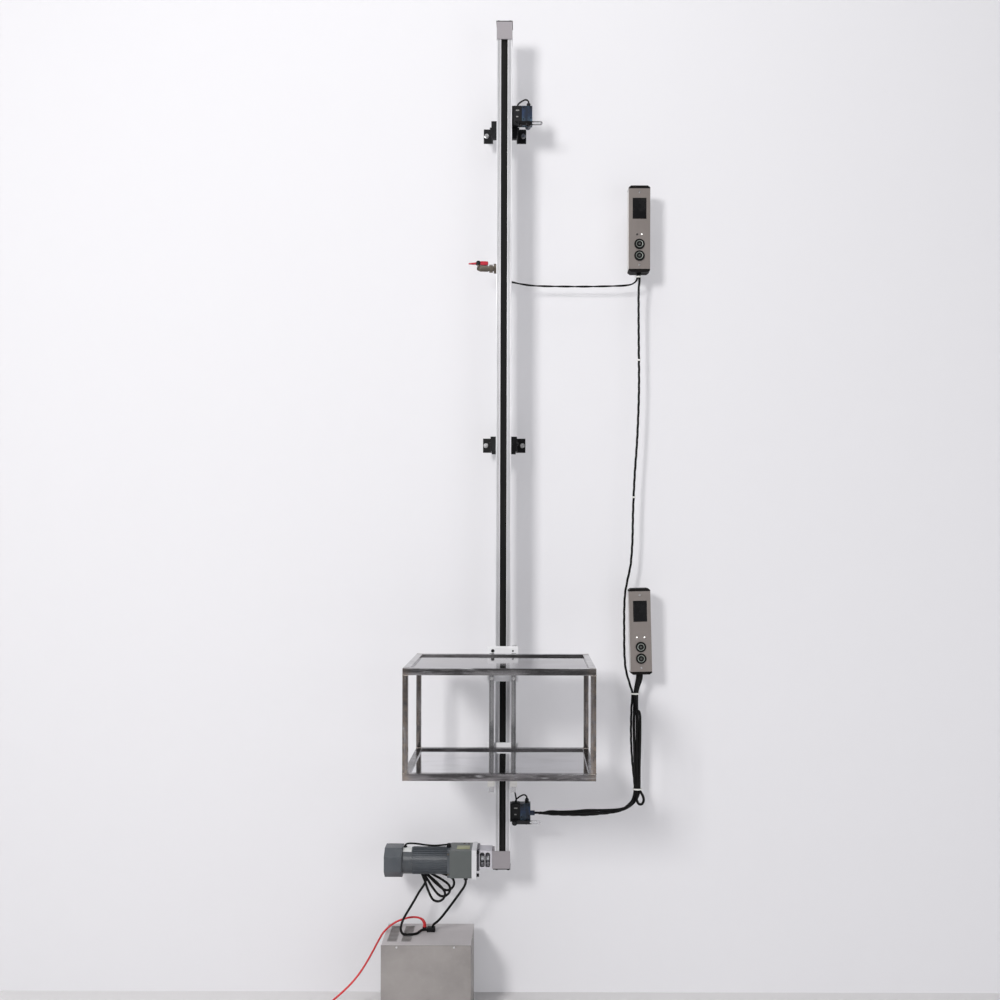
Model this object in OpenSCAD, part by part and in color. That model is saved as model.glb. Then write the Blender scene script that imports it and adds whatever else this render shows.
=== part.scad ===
// Wall-mounted dumbwaiter lift: belt-driven rail, carriage with open cage,
// gear motor, two call panels, two limit switches and a floor-standing control cabinet.
// Millimetres, +Z up, front towards -Y. The wall is the plane Y = 0, the rail stands at X = 0,
// and the origin lies between the middle pair of wall bolts.

/* [Wall fixing] */
// Height of the middle pair of wall bolts above the floor
anchor_h = 1884; // [1860:1:1910]
// Height from one pair of wall bolts to the next
bracket_pitch = 1050; // [1030:1:1060]
// Distance of each wall bolt from the middle of the rail
bolt_x = 62; // [60:1:70]
// Outer edge of a bracket foot, from the middle of the rail
foot_edge_x = 72; // [71:1:84]
// Height of a bracket foot
foot_h = 48; // [40:1:56]
// Thickness of the bracket steel
bracket_t = 4; // [3:0.5:5]
// Height of a clamp block beside the rail
clamp_h = 58; // [50:1:64]
// Width of a clamp block, from the rail to the bracket
clamp_w = 15; // [13:0.5:16]
// Radius of a wall stud
stud_r = 4; // [3:0.5:5]
// Length of a wall stud behind the wall face
stud_len = 45; // [30:1:60]

/* [Rail] */
// Height of the lower end of the rail above the floor
rail_foot_h = 540; // [530:1:548]
// Length of the rail profile
rail_len = 2671; // [2640:1:2700]
// Width of the rail profile
rail_w = 50; // [48:0.5:52]
// Depth of the rail profile
rail_d = 50; // [48:0.5:52]
// Gap between the wall and the back of the rail
wall_gap = 60; // [58:0.5:64]
// Width of the belt slot
slot_w = 21.6; // [21:0.1:23]
// Width of the toothed belt
belt_w = 20; // [16:0.5:20]
// Thickness of the toothed belt
belt_t = 2.4; // [2:0.1:3]
// Radius of the belt pulleys
pulley_r = 18; // [17:0.5:18.5]
// Height of an end block
block_h = 57; // [54:1:60]
// Reach of the drive block to the left of the rail's middle
block_reach = 34; // [30:1:38]
// Thickness of the end plates
plate_t = 3; // [2:0.5:5]

/* [Drive] */
// Depth of the drive pulley's shaft below the rail's foot
pulley_drop = 27; // [25:0.5:29]
// Depth of the motor's centre below the drive pulley's shaft
motor_drop = 11; // [8:0.5:14]
// Width and height of the gearbox
gearbox_w = 90; // [84:1:92]
// Length of the gearbox case
gearbox_len = 72; // [64:1:80]
// Width and height of the gearbox flange
flange_w = 94; // [93:0.5:98]
// Thickness of the gearbox flange
flange_t = 16; // [12:0.5:18]
// Length of the coupling housing, from the flange to the drive block
coupling_len = 50; // [48:0.5:56]
// Radius of the motor body over its ribs
motor_r = 44; // [41:0.5:45]
// Length of the ribbed motor body
motor_len = 124; // [110:1:130]
// Length of the motor's end shield
shield_len = 38; // [30:1:42]
// Width across the flats of the brake cover
cover_w = 96; // [90:0.5:96]
// Length of the brake cover
cover_len = 53; // [45:1:60]
// Number of ribs round the motor body
rib_count = 36; // [24:4:48]

/* [Carriage] */
// Width of the carriage plates
plate_w = 100; // [98:1:110]
// Thickness of the carriage plates
carriage_t = 8; // [6:0.5:10]
// Gap between the rail and the carriage plates
carriage_gap = 4; // [3:0.5:5]
// Height of the upper carriage plate's lower edge above the cage's foot
upper_plate_up = 232; // [222:1:242]
// Height of the upper carriage plate itself
upper_plate_len = 115; // [110:1:120]
// Depth of the lower carriage plate's lower edge below the cage's foot
lower_plate_drop = 59; // [53:1:68]
// Height of the lower carriage plate itself
lower_plate_len = 90; // [80:1:96]
// Side of the square carriage posts
post_w = 16; // [14:0.5:16]
// Distance of each post's middle from the middle of the rail
post_x = 36; // [35.5:0.5:38]
// Depth of the posts' lower ends below the cage's foot
post_drop = 128; // [123:1:138]
// Height of a guide block
guide_h = 24; // [20:1:28]

/* [Cage] */
// Width of the cage
cage_w = 560; // [480:1:600]
// Depth of the cage
cage_d = 378; // [320:1:420]
// Height of the cage
cage_h = 325; // [300:1:340]
// Height of the cage's lower face above the floor
cage_foot_h = 868; // [866:1:880]
// Side of the horizontal square tubes
tube_w = 20; // [17:0.5:22]
// Side of the upright square tubes
upright_w = 16; // [13:0.5:17]
// Wall of the square tubes
tube_wall = 1.5; // [1:0.1:2]
// Thickness of the roof and shelf sheets
sheet_t = 1.2; // [0.8:0.1:2]
// Depth of each sheet below the top of its frame
sheet_drop = 6; // [3:0.5:10]

/* [Limit switches] */
// Height of the upper switch's lever shaft above the floor
upper_switch_h = 2937; // [2930:1:2945]
// Height of the lower switch's lever shaft above the floor
lower_switch_h = 634; // [625:1:640]
// Height of a switch body
switch_h = 60; // [56:1:64]
// Depth of a switch body
switch_d = 28; // [24:0.5:28]
// Distance of the lever shaft from the middle of the rail
lever_x = 78; // [76:0.5:82]
// Length of the lever from its shaft to the roller
lever_reach = 38; // [34:0.5:40]
// Length of the lever behind its shaft
lever_tail = 48; // [40:1:60]
// Radius of a roller
roller_r = 9; // [7:0.5:10]

/* [Call panels] */
// Width of a call panel
panel_w = 72; // [68:1:80]
// Height of a call panel with its end caps
panel_h = 290; // [280:1:310]
// Depth of a call panel
panel_d = 45; // [40:1:50]
// Wall of the panel housing
panel_wall = 2.5; // [2:0.1:3]
// Thickness of the face plate
face_t = 2; // [1.5:0.1:3]
// Height of a panel end cap
cap_h = 10; // [8:0.5:14]
// Width of the display window
display_w = 43; // [38:0.5:48]
// Height of the display window
display_h = 67; // [60:0.5:72]
// Height of the display's middle above the panel's middle
display_z = 68; // [64:0.5:72]
// Depth of the upper button's middle below the panel's middle
up_button_z = 52; // [50:0.5:53]
// Depth of the lower button's middle below the panel's middle
down_button_z = 91; // [90:0.5:94]
// Radius of a button ring
ring_r = 17.5; // [16:0.1:18]
// Radius of a button
button_r = 13; // [11:0.1:13.5]
// Travel of a button
button_travel = 2.5; // [1.5:0.1:3]
// Distance of the upper panel's middle from the middle of the rail
upper_panel_x = 453; // [445:1:460]
// Height of the upper panel's middle above the floor
upper_panel_h = 2610; // [2605:1:2615]
// Distance of the lower panel's middle from the middle of the rail
lower_panel_x = 460; // [458:1:470]
// Height of the lower panel's middle above the floor
lower_panel_h = 1258; // [1255:1:1262]
// Lean of the lower panel in degrees, its foot to the right
lower_panel_lean = 1.5; // [0:0.1:2]

/* [Cabinet] */
// Width of the control cabinet
cabinet_w = 290; // [280:1:300]
// Depth of the control cabinet
cabinet_d = 184; // [175:1:200]
// Height of the control cabinet
cabinet_h = 259; // [259:1:259]
// Distance of the cabinet's middle to the left of the rail
cabinet_x = 243.5; // [240:0.5:250]
// Thickness of the cabinet's sheet steel
cabinet_t = 1.5; // [1:0.1:2]
// Width of the cabinet's front flange
cabinet_lip = 12; // [10:0.5:16]
// Number of slots in each louvre bank
louvre_count = 12; // [6:1:12]
// Width of a louvre slot
louvre_w = 33; // [28:1:36]

/* [Valve] */
// Height of the lever valve's pipe above the floor
valve_h = 2463; // [2455:1:2475]
// Distance of the valve's stem to the left of the rail
valve_x = 85; // [82:0.5:90]
// Length of the red lever
handle_len = 65; // [50:1:70]

/* [Clearances] */
// Radial clearance of a running fit
run = 0.08; // [0.05:0.01:0.1]
// Gap between parts that slide or pass each other
slide = 0.4; // [0.3:0.05:0.5]
// Radial clearance of a bolt or screw in its hole
hole_gap = 0.5; // [0.3:0.1:0.6]
// Radial clearance of a wall bolt in its foot, so that a bracket can be lined up
foot_hole_gap = 1.3; // [1.2:0.1:1.6]

/* [Cords] */
// Diameter of the motor and gearbox cords
motor_cord_d = 8; // [7:0.1:8]
// Diameter of the red mains cord
mains_cord_d = 6.5; // [6:0.1:6.6]
// Number of turns in the motor cord's hank
hank_turns = 3; // [1:1:3]
// Number of turns in each of the mains coil's two layers
coil_turns = 3; // [1:1:3]

/* [Hidden] */
$fn = 48;
eps = 0.01;
far = 400;

rail_back = -wall_gap;
rail_front = rail_back - rail_d;
axis_y = (rail_back + rail_front) / 2;
rail_head_h = rail_foot_h + rail_len;
drive_h = rail_foot_h - pulley_drop;
motor_h = drive_h - motor_drop;
idler_h = rail_head_h + (rail_foot_h - drive_h);
belt_in = pulley_r + run;
belt_out = belt_in + belt_t;
belt_room = 2;
slot_depth = 12;
block_over = 3;
top_block_x = rail_w / 2 + 0.5;

// side grooves of the rail: [distance from the rail's back, width, depth]
clamp_groove = [6, 6, 6];
switch_groove = [22, 6, 6];
guide_groove = [43.5, 5, 4];

clamp_y = rail_back - clamp_groove[0];
clamp_d = 15;
leg_x = rail_w / 2 + clamp_w;
leg_front = clamp_y - 5;
screw_r = 2.5;
screw_head_r = 4.5;
screw_head_h = 5;

bearing_in = 13;
bearing_t = 7;
bearing_r = 11;
journal_r = 6;
end_screw_x = 19;
end_screw_y = 19;

flange_left = -(block_reach + coupling_len + flange_t);
case_left = flange_left - gearbox_len;
flange_bolt = 37;
housing_w = 60;
housing_base_t = 8;
housing_base_w = 64;
housing_base_h = 72;
hub_r = 16;
hub_len = 16;
spider_t = 3;
coupling_mid = -(block_reach + coupling_len / 2);
output_r = 7.5;
motor_left = case_left - motor_len;
motor_pad = 8;
rib_h = 3;
rib_w = 2.4;
shield_left = motor_left - shield_len;
cover_left = shield_left - cover_len;

plate_back = rail_front - carriage_gap;
plate_front = plate_back - carriage_t;
post_front = plate_front - post_w;
upper_plate_h = cage_foot_h + upper_plate_up;
lower_plate_h = cage_foot_h - lower_plate_drop;
post_foot_h = cage_foot_h - post_drop;
upper_plate_top = upper_plate_h + upper_plate_len;
cage_top_h = cage_foot_h + cage_h;
cage_back = post_front;
cage_front = cage_back - cage_d;
guide_in = rail_w / 2 + slide;
guide_out = post_x + post_w / 2 + 4;
guide_back = rail_back - guide_groove[0] + guide_groove[1] / 2 - slide;
lower_guide_h = post_foot_h + 20;
upper_guide_h = upper_plate_h + 60;
striker_x = [30, 46];
striker_t = 8;

switch_back = leg_front - 1;
switch_front = switch_back - switch_d;
switch_mid = (switch_back + switch_front) / 2;
switch_split = 58;
switch_right = 92;
lever_back = switch_front - slide;
arm_t = 3;
arm_front = lever_back - 4 - arm_t;
arm_w = 13;
roller_w = 8;
roller_x = lever_x - lever_reach;
roller_pin_r = 2.5;
gland_len = 14;
top_gland_x = 80;

face_back = -(panel_d - face_t);
housing_half = panel_h / 2 - cap_h;
panel_screw_z = housing_half - 13;
board_y = -22;
board_t = 1.6;
boss_x = 24;
boss_z = 80;
ring_neck = 12;
ring_lip = 3;
cover_head_r = 3.2;
cover_head_h = 1.6;
cover_shank_r = 1.4;
cover_shank_len = 6;

cabinet_left = -(cabinet_x + cabinet_w / 2);
cabinet_right = -(cabinet_x - cabinet_w / 2);
cabinet_screws_x = [-338, -153];
cabinet_screw_z = cabinet_h - 6;
louvre_x = [-374, -328];
louvre_pitch = 11;
louvre_slot = 4;

// Blocks of the drive unit as shares of the cabinet: [left, right, near back, far back, foot, top]
unit_blocks = [[0.1, 0.46, 0, 0.68, 0.232, 0.869], [0.53, 0.89, 0, 0.043, 0.579, 0.714],
    [0.565, 0.72, 0.043, 0.424, 0.483, 0.792], [0.735, 0.875, 0.043, 0.272, 0.54, 0.753],
    [0.53, 0.89, 0, 0.245, 0.193, 0.328]];
hood = [[-251, -225], [-76, -56], 14];
mains_hole = [-262, -42];
gearbox_gland = [-120, -118];
motor_gland = [-352, motor_h - 15];
gland_r = 7;
gland_out = 8;

valve_y = axis_y;

// Moves a route's heights up by h; sets a route's first and last heights and spreads the others between
function lifted(p, h) = [for (q = p) q + [0, 0, h]];
function hung(p, top, foot) = let (a = p[0][2], b = p[len(p) - 1][2])
    [for (q = p) [q[0], q[1], foot + (q[2] - b) * (top - foot) / (a - b)]];

// Routes of the leads and cords as [x, y, height above the floor]
trunk_route = [[456.5, -22, 2465], [456.5, -22, 2456], [456, -19.5, 2444], [454.5, -12, 2410], [455, -6, 2350],
    [456, -6, 2220], [457, -6, 2080], [452, -6, 1920], [443, -6, 1780], [438, -6, 1660], [436, -6, 1560],
    [430, -6, 1480], [420, -6, 1430], [412, -6, 1385], [409, -6, 1330], [409, -6, 1250], [410, -6, 1180],
    [415, -6, 1125], [427, -6.4, 1080], [437, -7.6, 1045], [434.5, -6.5, 1000], [433, -6, 900], [437, -6, 820],
    [443, -6.4, 760], [446.2, -7.8, 722], [444, -8.4, 702], [434, -10, 678], [412, -13, 659], [375, -21, 646],
    [320, -33, 642], [280, -43, 642], [235, -54, 645], [190, -66, 649], [150, -77, 654], [130, -84, 658.5],
    [115, -86, 660], [106, -86, 660]];
// Leads from the lower panel's foot: a plain one, one with its spare length folded up, and one into the trunk
panel_route = [[452, -22, 1112.7], [452.2, -22, 1104.5], [450.6, -18.5, 1090], [447.5, -11, 1068],
    [445, -7.4, 1048], [444.6, -7, 1036], [443.5, -6, 1000], [443.8, -6, 900], [449, -6, 820], [452.5, -6.4, 760],
    [453.8, -7.2, 722], [451.5, -8.5, 702], [442, -11, 681], [424, -15, 664], [400, -19.5, 656], [367, -26, 654],
    [320, -34, 655], [280, -42, 657], [235, -53, 656], [190, -67, 658.5], [156, -77, 662], [136, -82, 659],
    [120, -85, 659]];
spare_route = [[459.2, -25, 1112.9], [459.4, -25, 1104.5], [457, -22.5, 1088], [451, -18.5, 1066],
    [447, -16, 1048], [447, -15.4, 1036], [450.5, -14.6, 1000], [452, -14.5, 900], [453, -14.5, 820],
    [453.4, -14.8, 760], [452.5, -15.5, 722], [450.5, -16.4, 704], [452, -17.2, 685], [460, -18, 671.5],
    [469.5, -18.5, 672.5], [475, -19, 684], [473, -18.6, 698], [466.5, -17, 710], [460.6, -15.6, 722],
    [460.2, -14.8, 740], [461.5, -14.5, 820], [463, -14.8, 900], [462.8, -16.5, 950], [461.5, -20, 974],
    [457.5, -22.6, 986], [451, -22.8, 989], [444.5, -20.5, 983], [441.6, -17, 968], [441, -14.8, 940],
    [442, -14.4, 900], [444.6, -14.4, 820], [445.6, -14.8, 760], [445.4, -15.6, 722], [442.5, -16.6, 700],
    [433, -18.5, 677], [411, -21.5, 658], [380, -27, 648.5], [330, -37, 647], [280, -47, 650], [235, -58.4, 651.5],
    [190, -72.4, 653.5], [156, -82.5, 656.5], [138, -86, 659.5], [122, -86.5, 660.5]];
short_route = [[466.4, -22, 1113.1], [466.6, -22, 1104.9], [464.5, -18.5, 1090], [458, -11, 1068],
    [453.4, -8, 1048], [453, -7.4, 1036], [453.4, -6, 1000], [456, -6, 940], [459.5, -6, 880], [461.5, -6, 820],
    [462, -6.4, 760], [461.4, -7.8, 722], [458.5, -9.5, 702], [449, -11.8, 684], [434, -13, 668], [412, -15, 655],
    [385, -19.5, 648.5], [375, -21, 646]];
branch_route = [[18, -53, 2437], [22, -47, 2437], [34, -38, 2437], [56, -24, 2436], [84, -12, 2434], [120, -6, 2431],
    [200, -5, 2426], [290, -5, 2422], [370, -5, 2422], [410, -5.5, 2423.5], [430, -8.5, 2427], [441, -14, 2433],
    [447, -19.3, 2441.5], [448.8, -22, 2450], [449, -22, 2457], [449, -22, 2465]];
rail_lead_route = [[38, -72, 2977], [38, -66.8, 2977], [35, -62.5, 2976.5], [29, -59, 2974], [21, -55, 2964],
    [18, -54, 2950], [18, -54, 2910], [18, -54, 2700],
    [18, -54, 2437], [18, -54, 2000], [18, -54, 1500], [18, -54, 1000], [18, -54, 800], [24, -56, 770],
    [34, -64, 745], [42, -76, 718], [45, -86, 700], [45, -86, 694]];
switch_loop_route = [[80, -86, 12], [80, -86, 17.2], [77, -86, 23], [70, -86, 25.5], [61, -86, 22.5],
    [52, -86, 16.5], [45.5, -86, 11], [43, -86, 5.2], [43, -86, 0]];
motor_lead_route = lifted([[-322, -85, 43], [-322, -85, 49.2], [-318.5, -85.3, 53.5], [-310, -86, 55.5],
    [-285, -88, 55.5], [-255, -90, 52], [-225, -90, 50], [-200, -88, 51], [-184, -86, 52], [-176, -85, 52]], motor_h);
hank_lead_route = lifted([[-352, -25, -15], [-352, -16, -15], [-348.5, -8, -16.5], [-339, -4.4, -20],
    [-322, -4.2, -26.5], [-300, -4.2, -35], [-282, -4.6, -42.5]], motor_h);
motor_cord_route = hung([[-259.5, -35.5, 434], [-258, -37, 424], [-261, -40, 412], [-269, -45, 399],
    [-280, -51, 384], [-291, -60, 366], [-303, -70, 347], [-315, -80, 329], [-326, -90, 311], [-333, -98, 293],
    [-334, -104, 278], [-328, -107, 267], [-317, -107, 263.3], [-303, -105, 263.2], [-290, -101, 263.2],
    [-280, -93, 263.2], [-276, -82, 263.5], [-269, -72, 264.5], [-259, -68, 265], [-251, -68, 265]], motor_h - 68,
    cabinet_h + 6);
gearbox_cord_route = hung([[-120, -118, 449], [-120, -118, 439], [-126, -118, 424], [-137, -118, 408],
    [-149, -117, 391], [-161, -115, 374], [-173, -112, 357], [-185, -107, 340], [-197, -101, 323],
    [-209, -92, 307], [-220, -82, 294], [-229, -73, 284], [-232, -69, 278], [-233.8, -67.2, 269]],
    motor_h - gearbox_w / 2 - gland_out, cabinet_h + 10);
mains_cord_route = hung([[-262, -42, 265], [-262, -42, 274], [-267, -43, 286], [-279, -45, 295], [-295, -48, 299],
    [-313, -52, 299], [-331, -57, 296], [-349, -62, 291], [-366, -67, 283], [-382, -73, 272], [-396, -79, 258],
    [-407, -85, 241], [-417, -91, 223], [-427, -97, 205], [-437, -103, 187], [-448, -109, 169],
    [-460, -115, 151], [-473, -121, 134], [-487, -127, 118], [-502, -132, 103], [-518, -137, 89],
    [-535, -141, 75], [-552, -144, 61], [-568, -146, 47], [-584, -148, 33], [-600, -149, 20],
    [-617, -150, 10], [-635, -151, 4.8], [-654, -151.7, 3.3], [-672, -152, 3.3]], cabinet_h + 6, 3.3);
coil_centre = [-690, -200];
coil_r = 48;
coil_gap = 0.6;
plug_lead_route = [[-672, -248, 10.4], [-660, -248, 11.4], [-650, -248, 12.4], [-640, -248, 12.6]];
plug_x = -640;
plug_axis = [-248, 12.6];
// Ties as [left lead's x, right lead's x, y, height, inner radius]
ties = [[450.4, 455.6, -21.6, 2453, 5], [456.5, 456.5, -6, 2175, 4.6], [440.1, 440.1, -6, 1710, 4.6],
    [441.7, 448.7, -12, 1045, 10.5], [451, 457, -12.2, 722, 10.7]];

// Hank of the motor cord: lobes of rounded loops drawn in at a waist
waist = [-272, motor_h - 54];
hank_right = 98;
hank_left = 42;
hank_bend = 21;
hank_waist = 5.5;
hank_y = -6;
hank_pitch = 9.7;
hank_angle = -27;
hank_fan = -13;

// ---------------------------------------------------------------- helpers

// Moves what is drawn at heights above the floor into the part's own frame
module from_floor() {
    translate([0, 0, -anchor_h]) children();
}

// Box between two corners, given as three [from, to] pairs
module span(x, y, z) {
    translate([x[0], y[0], z[0]]) cube([x[1] - x[0], y[1] - y[0], z[1] - z[0]]);
}

// Round bars along X, Y and Z
module rod_x(x, r, y, z) {
    translate([x[0], y, z]) rotate([0, 90, 0]) cylinder(h = x[1] - x[0], r = r);
}

module rod_y(y, r, x, z) {
    translate([x, y[0], z]) rotate([-90, 0, 0]) cylinder(h = y[1] - y[0], r = r);
}

module rod_z(z, r, x, y) {
    translate([x, y, z[0]]) cylinder(h = z[1] - z[0], r = r);
}

// Draws its children on both sides of the rail
module both_sides() {
    children();
    mirror([1, 0, 0]) children();
}

// Extrudes a drawing of [Y, Z] along X from x[0] to x[1]
module along_x(x) {
    translate([x[0], 0, 0]) rotate([90, 0, 90]) linear_extrude(x[1] - x[0]) children();
}

// Points of a tube's centre line and the tube swept along them
function unit(v) = v / norm(v);
function tangent(p, i) = unit(p[min(i + 1, len(p) - 1)] - p[max(i - 1, 0)]);
function square_to(v, t) = unit(v - (v * t) * t);
function first_normal(t) = square_to(abs(t[2]) < 0.9 ? [0, 0, 1] : [0, 1, 0], t);
function normals(p) = [for (i = 0, n = first_normal(tangent(p, 0)); i < len(p);
    n = square_to(n, tangent(p, min(i + 1, len(p) - 1))), i = i + 1) n];
function ring(c, t, n, r, sides) = [for (k = [0 : sides - 1])
    c + r * (cos(360 * k / sides) * n + sin(360 * k / sides) * cross(t, n))];
function fan(first, sides) = [for (k = [1 : sides - 2]) [first, first + k, first + k + 1]];
function flipped(faces) = [for (f = faces) [f[0], f[2], f[1]]];
function wall_faces(rings, sides) = [for (i = [0 : rings - 2], k = [0 : sides - 1], h = [0, 1])
    let (a = i * sides + k, b = i * sides + (k + 1) % sides)
    h == 0 ? [a, b, b + sides] : [a, b + sides, a + sides]];

module tube(p, d, sides = 8) {
    n = normals(p);
    points = [for (i = [0 : len(p) - 1]) each ring(p[i], tangent(p, i), n[i], d / 2, sides)];
    faces = concat(fan(0, sides), flipped(wall_faces(len(p), sides)),
        flipped(fan((len(p) - 1) * sides, sides)));
    polyhedron(points = points, faces = faces, convexity = 10);
}

function smooth(x) = x * x * (3 - 2 * x);
function hank_side(s, reach) = hank_waist + (hank_bend - hank_waist) * smooth(min(1, abs(s) / reach));

// One point of the hank in its own plane; f runs from 0 to 24 over a turn
function hank_flat(f) =
    f < 3 ? [hank_right * f / 3, hank_side(hank_right * f / 3, hank_right)] :
    f < 9 ? [hank_right + hank_bend * cos(90 - 30 * (f - 3)), hank_bend * sin(90 - 30 * (f - 3))] :
    f < 12 ? [hank_right * (12 - f) / 3, -hank_side(hank_right * (12 - f) / 3, hank_right)] :
    f < 15 ? [-hank_left * (f - 12) / 3, -hank_side(hank_left * (f - 12) / 3, hank_left)] :
    f < 21 ? [-hank_left + hank_bend * cos(-90 - 30 * (f - 15)), hank_bend * sin(-90 - 30 * (f - 15))] :
    [-hank_left * (24 - f) / 3, hank_side(hank_left * (24 - f) / 3, hank_left)];
function hank_point(turn) =
    let (q = hank_flat((turn - floor(turn)) * 24), a = hank_angle + hank_fan * turn)
    [waist[0] + q[0] * cos(a) - q[1] * sin(a), hank_y - hank_pitch * turn,
        waist[1] + q[0] * sin(a) + q[1] * cos(a)];
hank_end = hank_point(hank_turns);
hank_aim = hank_angle + hank_fan * hank_turns;
hank_tail = [for (s = [4, 9]) hank_end + s * [cos(hank_aim), 0, sin(hank_aim)]];
hank_route = concat(hank_lead_route, [for (k = [0 : 24 * hank_turns]) hank_point(k / 24)], hank_tail);

// Coil of the mains cord: in along the floor, up a layer in half a turn, and out again
coil_pitch = mains_cord_d + coil_gap;
function coil_radius(t) = coil_r - coil_pitch * min(t, coil_turns + 0.2, 2 * coil_turns + 0.5 - t);
function coil_height(t) = mains_cord_d / 2 + 0.05
    + coil_pitch * smooth(min(1, max(0, (t - coil_turns) / 0.5)));
function coil_point(t) = [coil_centre[0] + coil_radius(t) * cos(90 + 360 * t),
    coil_centre[1] + coil_radius(t) * sin(90 + 360 * t), coil_height(t)];
coil_end = 2 * coil_turns + 0.5;
coil_route = [for (k = [0 : 24 * coil_end]) coil_point(k / 24)];

// Least gap of a wound cord to itself, measured between points more than half a turn apart
function self_gap(p, d) = min([for (i = [0 : len(p) - 1], j = [i + 12 : 1 : len(p) - 1]) norm(p[i] - p[j])]) - d;
echo(hank_least_gap = self_gap(hank_route, motor_cord_d), coil_least_gap = self_gap(coil_route, mains_cord_d));

// ---------------------------------------------------------------- rail

module groove(g) {
    both_sides() translate([rail_w / 2 - g[2], rail_back - g[0] - g[1] / 2]) square([g[2] + 1, g[1]]);
}

module rail_profile() {
    color("silver") from_floor() translate([0, 0, rail_foot_h]) linear_extrude(rail_len) difference() {
        translate([-rail_w / 2, rail_front]) square([rail_w, rail_d]);
        translate([-slot_w / 2, rail_front - 1]) square([slot_w, slot_depth + 1]);
        translate([-slot_w / 2, axis_y + belt_in - belt_room]) square([slot_w, belt_t + 2 * belt_room]);
        translate([0, axis_y + 1.5]) circle(r = 9);
        groove(clamp_groove);
        groove(switch_groove);
        groove(guide_groove);
    }
}

// Housing of one belt pulley; axis_h is the height of its shaft
module pulley_block(x, z, axis_h, cavity) {
    room = belt_out + belt_room;
    difference() {
        span(x, [rail_front - block_over, rail_back + block_over], z);
        span([-slot_w / 2 - 1.5, slot_w / 2 + 1.5], [axis_y - room, axis_y + room], cavity);
        rod_x([-bearing_in - bearing_t, bearing_in + bearing_t], bearing_r, axis_y, axis_h);
        for (sx = [-1, 1], sy = [-1, 1]) {
            rod_z([z[0] - 1, z[0] + 12], screw_r, sx * end_screw_x, axis_y + sy * end_screw_y);
            rod_z([z[1] - 12, z[1] + 1], screw_r, sx * end_screw_x, axis_y + sy * end_screw_y);
        }
    }
}

module top_block() {
    color("silver") from_floor() pulley_block([-top_block_x, top_block_x], [rail_head_h, rail_head_h + block_h],
        idler_h, [rail_head_h - 1, idler_h + belt_out + belt_room]);
}

module bottom_block() {
    color("silver") from_floor() difference() {
        pulley_block([-block_reach, rail_w / 2], [rail_foot_h - block_h, rail_foot_h], drive_h,
            [drive_h - belt_out - belt_room, rail_foot_h + 1]);
        rod_x([-block_reach - 1, 0], journal_r + 1.5, axis_y, drive_h);
    }
}

module end_plates() {
    color("black") from_floor() {
        difference() {
            span([-top_block_x - 1.5, top_block_x + 1.5], [rail_front - block_over, rail_back + block_over],
                [rail_head_h + block_h, rail_head_h + block_h + plate_t]);
            for (sx = [-1, 1], sy = [-1, 1])
                rod_z([rail_head_h, rail_head_h + block_h + far], screw_r + hole_gap, sx * end_screw_x,
                    axis_y + sy * end_screw_y);
        }
        difference() {
            span([-block_reach + 3, rail_w / 2 + 1], [rail_front - block_over, rail_back + block_over],
                [rail_foot_h - block_h - plate_t, rail_foot_h - block_h]);
            for (sx = [-1, 1], sy = [-1, 1])
                rod_z([0, rail_foot_h], screw_r + hole_gap, sx * end_screw_x, axis_y + sy * end_screw_y);
        }
    }
}

module pulley_bearings() {
    color("gainsboro") from_floor() for (h = [drive_h, idler_h]) both_sides() difference() {
        rod_x([bearing_in, bearing_in + bearing_t], bearing_r, axis_y, h);
        rod_x([0, far], journal_r + run, axis_y, h);
    }
}

// Outline of the belt loop at radius r round both pulleys, in [Y, Z]
module belt_outline(r) {
    for (h = [drive_h, idler_h]) translate([axis_y, h]) circle(r = r);
    translate([axis_y - r, drive_h]) square([2 * r, idler_h - drive_h]);
}

module drive_belt() {
    color("black") from_floor() along_x([-belt_w / 2, belt_w / 2]) difference() {
        belt_outline(belt_out);
        belt_outline(belt_in);
    }
}

// ---------------------------------------------------------------- wall fixing

// Draws its children at each pair of wall bolts, on both sides
module at_brackets() {
    for (k = [-1 : 1]) translate([0, 0, anchor_h + k * bracket_pitch]) both_sides() children();
}

module rail_clamps() {
    color("black") from_floor() at_brackets() difference() {
        union() {
            span([rail_w / 2, leg_x], [leg_front, leg_front + clamp_d], [foot_h / 2 - clamp_h, foot_h / 2]);
            span([rail_w / 2 - clamp_groove[2] + slide, rail_w / 2 + eps],
                [clamp_y - clamp_groove[1] / 2 + slide, clamp_y + clamp_groove[1] / 2 - slide],
                [foot_h / 2 - clamp_h, foot_h / 2]);
        }
        rod_x([0, far], screw_r, clamp_y, 0);
    }
}

module wall_brackets() {
    color("black") from_floor() at_brackets() difference() {
        union() {
            span([leg_x, leg_x + bracket_t], [leg_front, 0], [-foot_h / 2, foot_h / 2]);
            span([leg_x, foot_edge_x], [-bracket_t, 0], [-foot_h / 2, foot_h / 2]);
        }
        rod_x([0, leg_x + bracket_t + 1], screw_r + hole_gap, clamp_y, 0);
        rod_y([-bracket_t - 1, 1], stud_r + foot_hole_gap, bolt_x, 0);
    }
}

module wall_bolts() {
    washer_t = 1.6;
    head_h = 5.3;
    color("dimgray") from_floor() at_brackets() {
        rod_y([-bracket_t - washer_t, stud_len], stud_r, bolt_x, 0);
        rod_y([-bracket_t - washer_t, -bracket_t], stud_r * 2, bolt_x, 0);
        translate([bolt_x, -bracket_t - washer_t, 0]) rotate([90, 0, 0])
            cylinder(h = head_h, r = stud_r * 1.85, $fn = 6);
    }
}

// Socket cap screw along -X from x, its head outside
module cap_screw_x(x, y, z, len) {
    rod_x([x, x + screw_head_h], screw_head_r, y, z);
    rod_x([x - len, x + eps], screw_r, y, z);
}

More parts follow.
